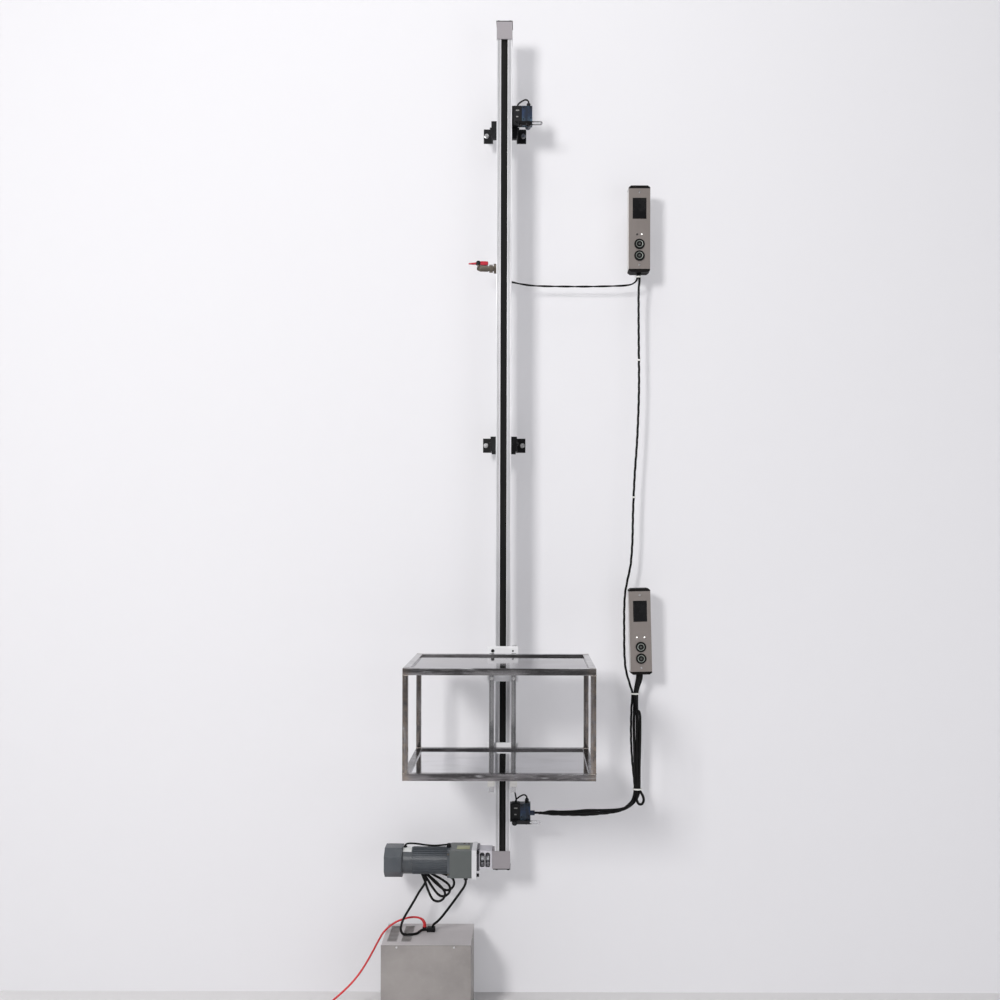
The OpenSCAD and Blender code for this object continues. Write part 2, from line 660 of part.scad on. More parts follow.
module cap_screws() {
    top = rail_head_h + block_h + plate_t;
    foot = rail_foot_h - block_h - plate_t;
    color("black") from_floor() {
        at_brackets() cap_screw_x(leg_x + bracket_t, clamp_y, 0, clamp_w + bracket_t);
        for (sx = [-1, 1], sy = [-1, 1]) {
            rod_z([top, top + 3], screw_head_r, sx * end_screw_x, axis_y + sy * end_screw_y);
            rod_z([top - 12, top + eps], screw_r, sx * end_screw_x, axis_y + sy * end_screw_y);
            rod_z([foot - 3, foot], screw_head_r, sx * end_screw_x, axis_y + sy * end_screw_y);
            rod_z([foot - eps, foot + 12], screw_r, sx * end_screw_x, axis_y + sy * end_screw_y);
            cap_screw_x(flange_left + flange_t, axis_y + sx * flange_bolt, motor_h + sy * flange_bolt, flange_t);
        }
    }
}

// ---------------------------------------------------------------- drive

module arch_window(x) {
    w = 10.5;
    translate([x, 0, drive_h]) rotate([90, 0, 0]) linear_extrude(far, center = true) {
        translate([-w / 2, -21]) square([w, 37]);
        translate([0, 16]) circle(r = w / 2);
    }
}

module coupling_housing() {
    base = [flange_left + flange_t, flange_left + flange_t + housing_base_t];
    color("lightsteelblue") from_floor() difference() {
        union() {
            span(base, [axis_y - housing_base_w / 2, axis_y + housing_base_w / 2],
                [drive_h - housing_base_h / 2, drive_h + housing_base_h / 2]);
            span([base[1], -block_reach], [axis_y - housing_w / 2, axis_y + housing_w / 2],
                [drive_h - housing_w / 2, drive_h + housing_w / 2]);
        }
        rod_x([base[0] - 1, -block_reach + 1], hub_r + 5, axis_y, drive_h);
        for (x = [base[1] + 10, base[1] + 28]) arch_window(x);
    }
}

module gearbox_case() {
    half = gearbox_w / 2;
    color("slategray") from_floor() difference() {
        union() {
            span([case_left, flange_left], [axis_y - half, axis_y + half], [motor_h - half, motor_h + half]);
            span([flange_left, flange_left + flange_t], [axis_y - flange_w / 2, axis_y + flange_w / 2],
                [motor_h - flange_w / 2, motor_h + flange_w / 2]);
        }
        span([case_left - 1, flange_left - 8], [axis_y - half + 7, axis_y + half - 7],
            [motor_h - half + 7, motor_h + half - 7]);
        rod_x([flange_left - 9, 0], output_r + run, axis_y, drive_h);
        for (sy = [-1, 1], sz = [-1, 1])
            rod_x([flange_left, 0], screw_r, axis_y + sy * flange_bolt, motor_h + sz * flange_bolt);
    }
}

module motor_body() {
    half = gearbox_w / 2 - 1;
    color("slategray") from_floor() difference() {
        union() {
            span([case_left - motor_pad, case_left], [axis_y - half, axis_y + half],
                [motor_h - half, motor_h + half]);
            along_x([motor_left, case_left - motor_pad]) translate([axis_y, motor_h]) {
                circle(r = motor_r - rib_h);
                for (k = [0 : rib_count - 1]) rotate(360 * k / rib_count)
                    translate([0, -rib_w / 2]) square([motor_r, rib_w]);
            }
        }
    }
}

module motor_end_shield() {
    color("dimgray") from_floor() difference() {
        union() {
            rod_x([shield_left, motor_left], motor_r - 1, axis_y, motor_h);
            along_x([shield_left, shield_left + 5]) translate([axis_y, motor_h]) cut_square(cover_w, 24);
        }
        rod_x([shield_left - 1, shield_left + 20], motor_r - 6, axis_y, motor_h);
    }
}

// Square with cut corners, in [Y, Z]
module cut_square(w, c) {
    h = w / 2;
    polygon([[-h + c, -h], [h - c, -h], [h, -h + c], [h, h - c], [h - c, h], [-h + c, h], [-h, h - c],
        [-h, -h + c]]);
}

module brake_cover() {
    wall = 3;
    color("slategray") from_floor() difference() {
        along_x([cover_left, shield_left]) translate([axis_y, motor_h]) cut_square(cover_w, 24);
        along_x([cover_left + wall, shield_left + 1]) translate([axis_y, motor_h])
            cut_square(cover_w - 2 * wall, 23);
    }
    color("black") from_floor() rod_y([axis_y + cover_w / 2, -25], gland_r, motor_gland[0], motor_gland[1]);
}

module drive_pulley() {
    flange_x = belt_w / 2 + 0.3;
    color("silver") from_floor() difference() {
        union() {
            rod_x([-flange_x, flange_x], pulley_r, axis_y, drive_h);
            both_sides() rod_x([flange_x, flange_x + 1], belt_out + 1, axis_y, drive_h);
        }
        rod_x([-far, far], journal_r, axis_y, drive_h);
    }
}

module idler_pulley() {
    flange_x = belt_w / 2 + 0.3;
    color("silver") from_floor() {
        rod_x([-flange_x, flange_x], pulley_r, axis_y, idler_h);
        both_sides() rod_x([flange_x, flange_x + 1], belt_out + 1, axis_y, idler_h);
        rod_x([-bearing_in - bearing_t, bearing_in + bearing_t], journal_r, axis_y, idler_h);
    }
}

module drive_shafts() {
    color("gainsboro") from_floor() {
        rod_x([coupling_mid + spider_t / 2, bearing_in + bearing_t], journal_r, axis_y, drive_h);
        rod_x([flange_left - 30, coupling_mid - spider_t / 2], output_r, axis_y, drive_h);
    }
}

module coupling_hubs() {
    color("silver") from_floor() {
        difference() {
            rod_x([coupling_mid + spider_t / 2, coupling_mid + spider_t / 2 + hub_len], hub_r, axis_y, drive_h);
            rod_x([-far, 0], journal_r, axis_y, drive_h);
        }
        difference() {
            rod_x([coupling_mid - spider_t / 2 - hub_len, coupling_mid - spider_t / 2], hub_r, axis_y, drive_h);
            rod_x([-far, 0], output_r, axis_y, drive_h);
        }
        rod_x([coupling_mid - spider_t / 2, coupling_mid + spider_t / 2], hub_r - 1, axis_y, drive_h);
    }
}

// ---------------------------------------------------------------- limit switches

module at_switches() {
    for (h = [upper_switch_h, lower_switch_h]) translate([0, 0, h]) children();
}

module switch_bodies() {
    key = clamp_groove[1] / 2 - slide;
    groove_y = rail_back - switch_groove[0];
    color("black") from_floor() at_switches() {
        span([rail_w / 2, switch_split], [switch_front, switch_back], [0, switch_h]);
        span([rail_w / 2 - switch_groove[2] + slide, rail_w / 2], [groove_y - key, groove_y + key],
            [4, switch_h - 4]);
    }
}

module switch_heads() {
    color("steelblue") from_floor() {
        at_switches() difference() {
            union() {
                span([switch_split, switch_right], [switch_front, switch_back], [0, switch_h]);
                rod_y([switch_front, switch_back], roller_r, lever_x, 0);
                rod_z([switch_h, switch_h + 12], 6, top_gland_x, switch_mid);
            }
            rod_y([switch_front - 1, switch_mid], 4 + run, lever_x, 0);
        }
        rod_x([switch_right, switch_right + gland_len], 8, switch_mid, lower_switch_h + 26);
    }
}

module slotted_arm(h) {
    rod_r = arm_w / 2;
    difference() {
        union() {
            span([roller_x, lever_x + lever_tail - rod_r], [arm_front, arm_front + arm_t],
                [h - rod_r, h + rod_r]);
            for (x = [roller_x, lever_x + lever_tail - rod_r])
                rod_y([arm_front, arm_front + arm_t], rod_r, x, h);
        }
        span([lever_x + 12, lever_x + lever_tail - rod_r], [arm_front - 1, arm_front + arm_t + 1],
            [h - 2.7, h + 2.7]);
    }
}

module switch_lever(h) {
    color("silver") from_floor() {
        slotted_arm(h);
        rod_y([arm_front + arm_t, lever_back], 8, lever_x, h);
        rod_y([lever_back - eps, switch_mid - 1], 4, lever_x, h);
        rod_y([arm_front - 4, arm_front], 6, lever_x, h);
        rod_y([arm_front - roller_w - 1, arm_front], roller_pin_r, roller_x, h);
        rod_y([arm_front - roller_w - 3, arm_front - roller_w - 1], roller_pin_r + 1.5, roller_x, h);
    }
}

module switch_roller(h) {
    color("ivory") from_floor() difference() {
        rod_y([arm_front - roller_w - slide, arm_front - slide], roller_r, roller_x, h);
        rod_y([-far, 0], roller_pin_r + run, roller_x, h);
    }
}

module upper_switch_lever() {
    switch_lever(upper_switch_h);
}

module lower_switch_lever() {
    switch_lever(lower_switch_h);
}

module upper_switch_roller() {
    switch_roller(upper_switch_h);
}

module lower_switch_roller() {
    switch_roller(lower_switch_h);
}

// ---------------------------------------------------------------- call panels

module at_upper_panel() {
    translate([upper_panel_x, 0, upper_panel_h]) children();
}

module at_lower_panel() {
    translate([lower_panel_x, 0, lower_panel_h]) rotate([0, -lower_panel_lean, 0]) children();
}

module at_panels() {
    at_upper_panel() children();
    at_lower_panel() children();
}

module panel_housings() {
    half = panel_w / 2;
    color("silver") from_floor() at_panels() {
        difference() {
            span([-half, half], [face_back, 0], [-housing_half, housing_half]);
            span([-half + panel_wall, half - panel_wall], [face_back - 1, -panel_wall],
                [-housing_half - 1, housing_half + 1]);
        }
        for (sx = [-1, 1], sz = [-1, 1])
            rod_y([board_y, -panel_wall + eps], 3, sx * boss_x, sz * boss_z);
        for (sz = [-1, 1]) difference() {
            span([-half + panel_wall, half - panel_wall], [face_back, face_back + 6],
                [sz * panel_screw_z - 5, sz * panel_screw_z + 5]);
            rod_y([-far, 0], 1.5, 0, sz * panel_screw_z);
        }
    }
}

module panel_end_caps() {
    half = panel_w / 2;
    cut = 8;
    color("black") from_floor() at_panels() for (side = [0, 1]) mirror([0, 0, side])
        translate([0, 0, housing_half]) rotate([90, 0, 0]) linear_extrude(panel_d)
            polygon([[-half, 0], [half, 0], [half, cap_h - cut + 2], [half - cut, cap_h], [-half + cut, cap_h],
                [-half, cap_h - cut + 2]]);
}

module panel_faces() {
    half = panel_w / 2;
    color("gray") from_floor() at_panels() difference() {
        span([-half, half], [-panel_d, face_back], [-housing_half, housing_half]);
        span([-display_w / 2, display_w / 2], [-panel_d - 1, 0],
            [display_z - display_h / 2, display_z + display_h / 2]);
        for (z = [up_button_z, down_button_z]) rod_y([-far, 0], ring_r - 2.5, 0, -z);
        for (sz = [-1, 1]) rod_y([-far, 0], 2, 0, sz * panel_screw_z);
    }
}

module panel_displays() {
    gap = 0.2;
    color("black") from_floor() at_panels()
        span([-display_w / 2 + gap, display_w / 2 - gap], [-panel_d - 0.3, face_back + 1],
            [display_z - display_h / 2 + gap, display_z + display_h / 2 - gap]);
}

module panel_boards() {
    color("darkgreen") from_floor() at_panels() {
        span([-0.39 * panel_w, 0.39 * panel_w], [board_y - board_t, board_y],
            [-0.815 * housing_half, 0.815 * housing_half]);
        span([-display_w / 2 + 1, display_w / 2 - 1], [face_back + 1, board_y - board_t + eps],
            [display_z - display_h / 2 + 1, display_z + display_h / 2 - 1]);
        for (z = [up_button_z, down_button_z])
            rod_y([face_back + ring_neck - 2, board_y - board_t + eps], 0.77 * button_r, 0, -z);
    }
}

module button_rings() {
    color("black") from_floor() at_panels() for (z = [up_button_z, down_button_z]) difference() {
        union() {
            rod_y([-panel_d - ring_lip, -panel_d], ring_r, 0, -z);
            rod_y([-panel_d - eps, -panel_d + ring_neck], ring_r - 2.6, 0, -z);
        }
        rod_y([-far, 0], button_r + 0.2, 0, -z);
    }
}

module button(z) {
    rod_y([-panel_d - ring_lip - 1.5, -panel_d + 8], button_r, 0, -z);
}

module upper_up_button() {
    color("dimgray") from_floor() at_upper_panel() button(up_button_z);
}

module upper_down_button() {
    color("dimgray") from_floor() at_upper_panel() button(down_button_z);
}

module lower_up_button() {
    color("dimgray") from_floor() at_lower_panel() button(up_button_z);
}

module lower_down_button() {
    color("dimgray") from_floor() at_lower_panel() button(down_button_z);
}

module cover_screws() {
    color("gainsboro") from_floor() {
        at_panels() for (sz = [-1, 1]) {
            rod_y([-panel_d - cover_head_h, -panel_d], cover_head_r, 0, sz * panel_screw_z);
            rod_y([-panel_d - eps, -panel_d + cover_shank_len], cover_shank_r, 0, sz * panel_screw_z);
        }
        for (x = cabinet_screws_x) {
            rod_y([-cabinet_d - cover_head_h, -cabinet_d], cover_head_r, x, cabinet_screw_z);
            rod_y([-cabinet_d - eps, -cabinet_d + cover_shank_len], cover_shank_r, x, cabinet_screw_z);
        }
    }
}

// ---------------------------------------------------------------- leads held by the lift

module held_leads() {
    color("black") from_floor() {
        tube(trunk_route, 8, 6);
        for (route = [panel_route, spare_route, short_route]) tube(route, 7, 6);
        tube(branch_route, 6.4, 6);
        tube(rail_lead_route, 5, 6);
        tube(motor_lead_route, 6, 6);
        for (h = [upper_switch_h, lower_switch_h]) translate([0, 0, h + switch_h])
            tube(switch_loop_route, 5, 6);
    }
}

// Band round one or two leads: r round each, y their middle
module tie_band(t, r, z) {
    for (x = [t[0], t[1]]) rod_z(z, r, x, t[2]);
    span([t[0] - eps, t[1] + eps], [t[2] - r, t[2] + r], z);
}

module cable_ties() {
    color("white") from_floor() for (t = ties) difference() {
        union() {
            mid = (t[0] + t[1]) / 2;
            z = [t[3] - 2.5, t[3] + 2.5];
            tie_band(t, t[4] + 1.4, z);
            span([mid - 3, mid + 3], [t[2], 0], z);
            span([mid - 3, mid + 3], [t[2] - t[4] - 3.5, t[2]], z);
        }
        tie_band(t, t[4], [t[3] - 3, t[3] + 3]);
    }
}

// ---------------------------------------------------------------- cabinet

module cabinet_body() {
    front = -cabinet_d + cabinet_t;
    color("darkgray") from_floor() difference() {
        span([cabinet_left, cabinet_right], [front, 0], [0, cabinet_h]);
        span([cabinet_left + cabinet_t, cabinet_right - cabinet_t], [front + cabinet_t, -cabinet_t],
            [cabinet_t, cabinet_h - cabinet_t]);
        span([cabinet_left + cabinet_lip, cabinet_right - cabinet_lip], [front - 1, front + cabinet_t + 1],
            [cabinet_lip, cabinet_h - cabinet_lip]);
        for (x = louvre_x, k = [0 : louvre_count - 1]) span([x, x + louvre_w],
            [-25 - k * louvre_pitch - louvre_slot, -25 - k * louvre_pitch],
            [cabinet_h - cabinet_t - 1, cabinet_h + 1]);
        span([cabinet_right - cabinet_t - 1, cabinet_right + 1], [-cabinet_d + 26, -cabinet_d + 34], [207, 239]);
        for (x = cabinet_screws_x) rod_y([front - 1, front + 8], 1.5, x, cabinet_screw_z);
        rod_z([cabinet_h - 5, cabinet_h + 5], 5, -238, -66);
        rod_z([cabinet_h - 5, cabinet_h + 5], 5, mains_hole[0], mains_hole[1]);
    }
}

module cabinet_cover() {
    color("darkgray") from_floor() difference() {
        span([cabinet_left, cabinet_right], [-cabinet_d, -cabinet_d + cabinet_t], [0, cabinet_h]);
        for (x = cabinet_screws_x) rod_y([-far, 0], 1.8, x, cabinet_screw_z);
    }
}

module drive_unit() {
    color("dimgray") from_floor() for (b = unit_blocks)
        span([cabinet_left + b[0] * cabinet_w, cabinet_left + b[1] * cabinet_w],
            [-cabinet_t - b[3] * cabinet_d, -cabinet_t - b[2] * cabinet_d], [b[4] * cabinet_h, b[5] * cabinet_h]);
}

module cable_entries() {
    n = len(gearbox_cord_route);
    color("black") from_floor() {
        difference() {
            span(hood[0], hood[1], [cabinet_h, cabinet_h + hood[2]]);
            tube([for (k = [n - 3 : n - 1]) gearbox_cord_route[k]], motor_cord_d + 0.3, 24);
        }
        rod_z([cabinet_h, cabinet_h + 6], gland_r, mains_hole[0], mains_hole[1]);
        rod_z([motor_h - gearbox_w / 2 - gland_out, motor_h - gearbox_w / 2], gland_r, gearbox_gland[0],
            gearbox_gland[1]);
    }
}

// ---------------------------------------------------------------- lever valve beside the rail

module valve_body() {
    color("tan") from_floor() {
        rod_x([-rail_w / 2 - 9, -rail_w / 2], 16, valve_y, valve_h);
        translate([-rail_w / 2 - 24, valve_y, valve_h]) rotate([0, 90, 0]) cylinder(h = 12, r = 13.5, $fn = 6);
        rod_x([-rail_w / 2 - 28, -rail_w / 2 - 8], 8, valve_y, valve_h);
        rod_x([-valve_x + 6, -rail_w / 2 - 27], 10, valve_y, valve_h);
        translate([-valve_x - 5, valve_y, valve_h]) rotate([0, 90, 0]) cylinder(h = 11, r1 = 4.5, r2 = 10);
        rod_z([valve_h, valve_h + 13], 4, -valve_x, valve_y);
    }
}

module red_lever() {
    z = valve_h + 13;
    half = handle_len / 2;
    color("red") from_floor() {
        translate([-valve_x, valve_y + 6, z]) rotate([90, 0, 0]) linear_extrude(12)
            polygon([[-half, 1.5], [-half, 4], [-9, 7], [3, 7], [6.5, 11], [half - 2, 11], [half, 9], [half, -1],
                [half - 1.5, -2.5], [7.5, -2.5], [5, 0], [-9, 0]]);
        rod_z([z, z + 7.5], 8, -valve_x, valve_y);
        translate([-valve_x, valve_y, z + 7]) cylinder(h = 5, r = 5.5, $fn = 6);
    }
}

// ---------------------------------------------------------------- free cords

module motor_cord() {
    color("black") from_floor() tube(concat([hank_tail[1]], motor_cord_route), motor_cord_d);
}

module motor_cord_hank() {
    color("black") from_floor() tube(hank_route, motor_cord_d, 6);
}

module gearbox_cord() {
    color("black") from_floor() tube(gearbox_cord_route, motor_cord_d);
}

module mains_cord() {
    color("crimson") from_floor() tube(concat(mains_cord_route, [coil_point(0)]), mains_cord_d);
}

module mains_coil() {
    color("crimson") from_floor() tube(concat(coil_route, plug_lead_route), mains_cord_d, 6);
}

module mains_plug() {
    pin_gap = 9.5;
    color("black") from_floor() translate([plug_x, plug_axis[0], plug_axis[1]]) {
        rod_x([0, 18], 6, 0, 0);
        rod_x([18, 48], 12.5, 0, 0);
        for (sy = [-1, 1]) rod_x([48, 67], 2.4, sy * pin_gap, 0);
    }
}

// ---------------------------------------------------------------- carriage

module carriage_plates() {
    half = plate_w / 2;
    color("gainsboro") from_floor() difference() {
        union() {
            span([-half, half], [plate_front, plate_back], [upper_plate_h, upper_plate_top]);
            span([-half, half], [plate_front, plate_back], [lower_plate_h, lower_plate_h + lower_plate_len]);
        }
        rod_y([-far, 0], 6, -33, upper_plate_top - 15);
        rod_y([-far, 0], 3, 33, upper_plate_top - 15);
        at_carriage_bolts() rod_y([-far, 0], 3 + hole_gap, 0, 0);
    }
}

// Places of the bolts that hold the posts to the two plates
module at_carriage_bolts() {
    for (h = [upper_plate_h + 12, upper_plate_h + 42, lower_plate_h + 10, lower_plate_h + 40])
        both_sides() translate([post_x, 0, h]) children();
}

module carriage_posts() {
    color("dimgray") from_floor() difference() {
        both_sides() span([post_x - post_w / 2, post_x + post_w / 2], [post_front, plate_front],
            [post_foot_h, cage_top_h]);
        both_sides() span([post_x - post_w / 2 + tube_wall, post_x + post_w / 2 - tube_wall],
            [post_front + tube_wall, plate_front - tube_wall], [post_foot_h - 1, cage_top_h + 1]);
        at_carriage_bolts() rod_y([-far, 0], 3 + hole_gap, 0, 0);
    }
}

module carriage_bolts() {
    color("gainsboro") from_floor() at_carriage_bolts() {
        rod_y([post_front - 3, post_front], 5.5, 0, 0);
        rod_y([post_front - eps, plate_back], 3, 0, 0);
    }
}

module belt_clamp() {
    jaw_back = axis_y - belt_out - slide;
    color("silver") from_floor() span([-belt_w / 2 + 0.5, belt_w / 2 - 0.5], [plate_back, jaw_back],
        [upper_plate_h + 20, upper_plate_h + 90]);
}

// Tongue of a guide block in the rail's side groove
module guide_tongue(h) {
    span([rail_w / 2 - guide_groove[2] + slide, guide_in + eps], [guide_back - guide_groove[1] + 2 * slide,
        guide_back], [h, h + guide_h]);
}

module guide_blocks() {
    color("ivory") from_floor() both_sides() {
        span([guide_in, guide_out], [plate_back, guide_back], [upper_guide_h, upper_guide_h + guide_h]);
        guide_tongue(upper_guide_h);
        difference() {
            span([guide_in, guide_out], [post_front - 4, guide_back], [lower_guide_h, lower_guide_h + guide_h]);
            span([post_x - post_w / 2, post_x + post_w / 2], [post_front, plate_front],
                [lower_guide_h - 1, lower_guide_h + guide_h + 1]);
        }
        guide_tongue(lower_guide_h);
    }
}

module switch_strikers() {
    color("silver") from_floor() {
        span(striker_x, [plate_back, plate_back + striker_t], [upper_plate_top - 12, upper_plate_top + 3]);
        span([striker_x[0], post_x + post_w / 2], [plate_front, plate_front + 2 * striker_t],
            [post_foot_h, post_foot_h + 12]);
    }
}

// Hollow square tube along X between mitred ends, its outer lower edge on the X axis
module mitred_tube(len) {
    intersection() {
        along_x([-len / 2, len / 2]) difference() {
            square(tube_w);
            translate([tube_wall, tube_wall]) square(tube_w - 2 * tube_wall);
        }
        linear_extrude(tube_w) polygon([[-len / 2, 0], [len / 2, 0], [len / 2 - tube_w, tube_w],
            [-len / 2 + tube_w, tube_w]]);
    }
}

module cage_frame(h) {
    translate([0, cage_front, h]) mitred_tube(cage_w);
    translate([0, cage_back, h]) mirror([0, 1, 0]) mitred_tube(cage_w);
    both_sides() translate([cage_w / 2, (cage_front + cage_back) / 2, h]) rotate([0, 0, 90])
        mitred_tube(cage_d);
}

module cage_top_frame() {
    color("silver") from_floor() cage_frame(cage_top_h - tube_w);
}

module cage_bottom_frame() {
    color("silver") from_floor() cage_frame(cage_foot_h);
}

module cage_uprights() {
    y_places = [cage_front, cage_back - upright_w];
    color("silver") from_floor() both_sides() for (y = y_places) difference() {
        span([cage_w / 2 - upright_w, cage_w / 2], [y, y + upright_w],
            [cage_foot_h + tube_w, cage_top_h - tube_w]);
        span([cage_w / 2 - upright_w + tube_wall, cage_w / 2 - tube_wall], [y + tube_wall,
            y + upright_w - tube_wall], [cage_foot_h, cage_top_h]);
    }
}

module cage_sheets() {
    color("whitesmoke") from_floor() for (h = [cage_foot_h + tube_w, cage_top_h])
        span([-cage_w / 2 + tube_w, cage_w / 2 - tube_w], [cage_front + tube_w, cage_back - tube_w],
            [h - sheet_drop - sheet_t, h - sheet_drop]);
}

rail_profile();
top_block();
bottom_block();
end_plates();
pulley_bearings();
drive_belt();
rail_clamps();
wall_brackets();
wall_bolts();
cap_screws();
coupling_housing();
gearbox_case();
motor_body();
motor_end_shield();
brake_cover();
switch_bodies();
switch_heads();
panel_housings();
panel_end_caps();
panel_faces();
panel_displays();
panel_boards();
button_rings();
cover_screws();
held_leads();
cable_ties();
cabinet_body();
cabinet_cover();
drive_unit();
cable_entries();
valve_body();
motor_cord();
motor_cord_hank();
gearbox_cord();
mains_cord();
mains_coil();
mains_plug();
carriage_plates();
carriage_posts();
belt_clamp();
guide_blocks();
switch_strikers();
cage_top_frame();
cage_bottom_frame();
cage_uprights();
cage_sheets();
carriage_bolts();
drive_pulley();
drive_shafts();
coupling_hubs();
idler_pulley();
upper_switch_lever();
lower_switch_lever();
upper_switch_roller();
lower_switch_roller();
upper_up_button();
upper_down_button();
lower_up_button();
lower_down_button();
red_lever();
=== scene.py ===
import math

import bmesh
import bpy
import numpy as np
from mathutils import Matrix, Vector

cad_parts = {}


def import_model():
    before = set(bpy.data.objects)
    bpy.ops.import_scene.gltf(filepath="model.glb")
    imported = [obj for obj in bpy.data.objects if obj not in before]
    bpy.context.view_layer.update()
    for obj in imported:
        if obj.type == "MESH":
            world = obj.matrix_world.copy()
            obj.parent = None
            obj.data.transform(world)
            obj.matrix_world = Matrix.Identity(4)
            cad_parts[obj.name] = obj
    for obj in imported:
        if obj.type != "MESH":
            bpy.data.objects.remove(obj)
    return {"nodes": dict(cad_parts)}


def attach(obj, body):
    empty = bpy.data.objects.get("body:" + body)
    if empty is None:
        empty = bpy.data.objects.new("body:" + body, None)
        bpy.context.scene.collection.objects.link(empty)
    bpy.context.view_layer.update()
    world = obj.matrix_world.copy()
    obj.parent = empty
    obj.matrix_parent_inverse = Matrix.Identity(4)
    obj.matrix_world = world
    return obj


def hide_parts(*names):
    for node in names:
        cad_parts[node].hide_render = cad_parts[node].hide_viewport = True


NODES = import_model()["nodes"]
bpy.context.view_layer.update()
ANCHOR = 1884.0  # height of the origin above the floor


# ---------------------------------------------------------------- camera
# The lift is seen from 3.4 m in front of the wall's face, 80 mm to the right of the rail's middle and
# 1.56 m above the floor. The camera is rolled a little, as the rail's lean in the picture shows.

cam_data = bpy.data.cameras.new("camera")
cam = bpy.data.objects.new("camera", cam_data)
bpy.context.scene.collection.objects.link(cam)
cam.location = Vector((80, -3400, 1564 - ANCHOR)) / 1000
cam.rotation_euler = (math.radians(90), math.radians(-0.15), 0)
cam_data.sensor_width = 36
cam_data.lens = 36
cam_data.shift_x = -0.0275
cam_data.shift_y = 0.04
cam_data.clip_end = 40
bpy.context.scene.camera = cam


# ---------------------------------------------------------------- free cords
# Three round cords with moulded sheaths hang loose: the motor's, hanked up three times below it, the
# gearbox's, and the red mains cord, whose rest lies coiled on the floor with its plug. Each is a circle
# carried along its route, and enters its gland at both ends or ends at the plug.

class Socket:
    """A value in a tree of nodes that adds, subtracts and multiplies like a number."""

    def __init__(self, nodes, value):
        self.nodes, self.value = nodes, value

    def __add__(self, other):
        return self.nodes.math("ADD", self, other)

    def __radd__(self, other):
        return self.nodes.math("ADD", other, self)

    def __sub__(self, other):
        return self.nodes.math("SUBTRACT", self, other)

    def __rsub__(self, other):
        return self.nodes.math("SUBTRACT", other, self)

    def __mul__(self, other):
        return self.nodes.math("MULTIPLY", self, other)

    def __rmul__(self, other):
        return self.nodes.math("MULTIPLY", other, self)

    def __abs__(self):
        return self.nodes.math("ABSOLUTE", self)

    def step(self, low, high):
        """0 below low and 1 above high, smooth between."""
        return self.nodes.node("ShaderNodeMapRange", 0, {0: self, 1: low, 2: high, 3: 0.0, 4: 1.0},
                               interpolation_type="SMOOTHSTEP")


class Tree:
    """A tree of nodes, which all come from one method."""

    def __init__(self, tree):
        self.tree = tree

    def put(self, socket, value):
        """Fills a socket with a value, or links it to another node's output."""
        if isinstance(value, Socket):
            value = value.value
        if isinstance(value, bpy.types.NodeSocket):
            self.tree.links.new(value, socket)
        elif hasattr(value, "__len__") and len(value) == 3 and socket.type == "RGBA":
            socket.default_value = (*value, 1)
        else:
            socket.default_value = value

    def node(self, kind, out=0, inputs=None, **settings):
        """One output of a new node, whose settings are made before its sockets are filled."""
        made = self.tree.nodes.new(kind)
        for name, value in settings.items():
            setattr(made, name, value)
        for name, value in (inputs or {}).items():
            self.put(made.inputs[name], value)
        return Socket(self, made.outputs[out])

    def math(self, operation, a, b=None):
        """One step of arithmetic on one value or two."""
        return self.node("ShaderNodeMath", 0, {0: a} if b is None else {0: a, 1: b}, operation=operation)

    def mix(self, share, a, b):
        """Colour a where share is 0, and colour b where it is 1."""
        return self.node("ShaderNodeMix", 2, {0: share, 6: a, 7: b}, data_type="RGBA")


class Finish(Tree):
    """A material built up round a Principled shader, with its patterns on Object coordinates."""

    def __init__(self, name, color, rough=0.5, metal=0.0, **rest):
        self.mat = bpy.data.materials.new(name)
        self.mat.use_nodes = True
        super().__init__(self.mat.node_tree)
        self.shader = self.tree.nodes["Principled BSDF"]
        self.surface = self.tree.nodes["Material Output"].inputs[0]
        self.at = self.node("ShaderNodeTexCoord", "Object")
        self.normal = None
        self.set("Base Color", color)
        self.set("Roughness", rough)
        self.set("Metallic", metal)
        for socket, value in rest.items():
            self.set(socket.replace("_", " "), value)

    def set(self, socket, value):
        """Fills one of the shader's own sockets."""
        self.put(self.shader.inputs[socket], value)
        return self

    def axis(self, k):
        """Distance in metres from the origin along X, Y or Z."""
        return self.node("ShaderNodeSeparateXYZ", k, {0: self.at})

    def noise(self, scale, detail=3.0, rough=0.55, stretch=(1, 1, 1), shift=(0, 0, 0)):
        """Cloudy values between 0 and 1: the place times stretch plus shift, in lumps of 1 / scale metres."""
        at = self.node("ShaderNodeMapping", 0, {"Vector": self.at, "Scale": stretch, "Location": shift})
        return self.node("ShaderNodeTexNoise", 0, {"Vector": at, "Scale": scale, "Detail": detail,
                                                   "Roughness": rough})

    def bump(self, height, distance, strength=1.0):
        """Lifts the surface by height times distance in metres, on top of the bumps before."""
        inputs = {"Height": height, "Distance": distance, "Strength": strength}
        if self.normal is not None:
            inputs["Normal"] = self.normal
        self.normal = self.node("ShaderNodeBump", 0, inputs)
        return self.set("Normal", self.normal)


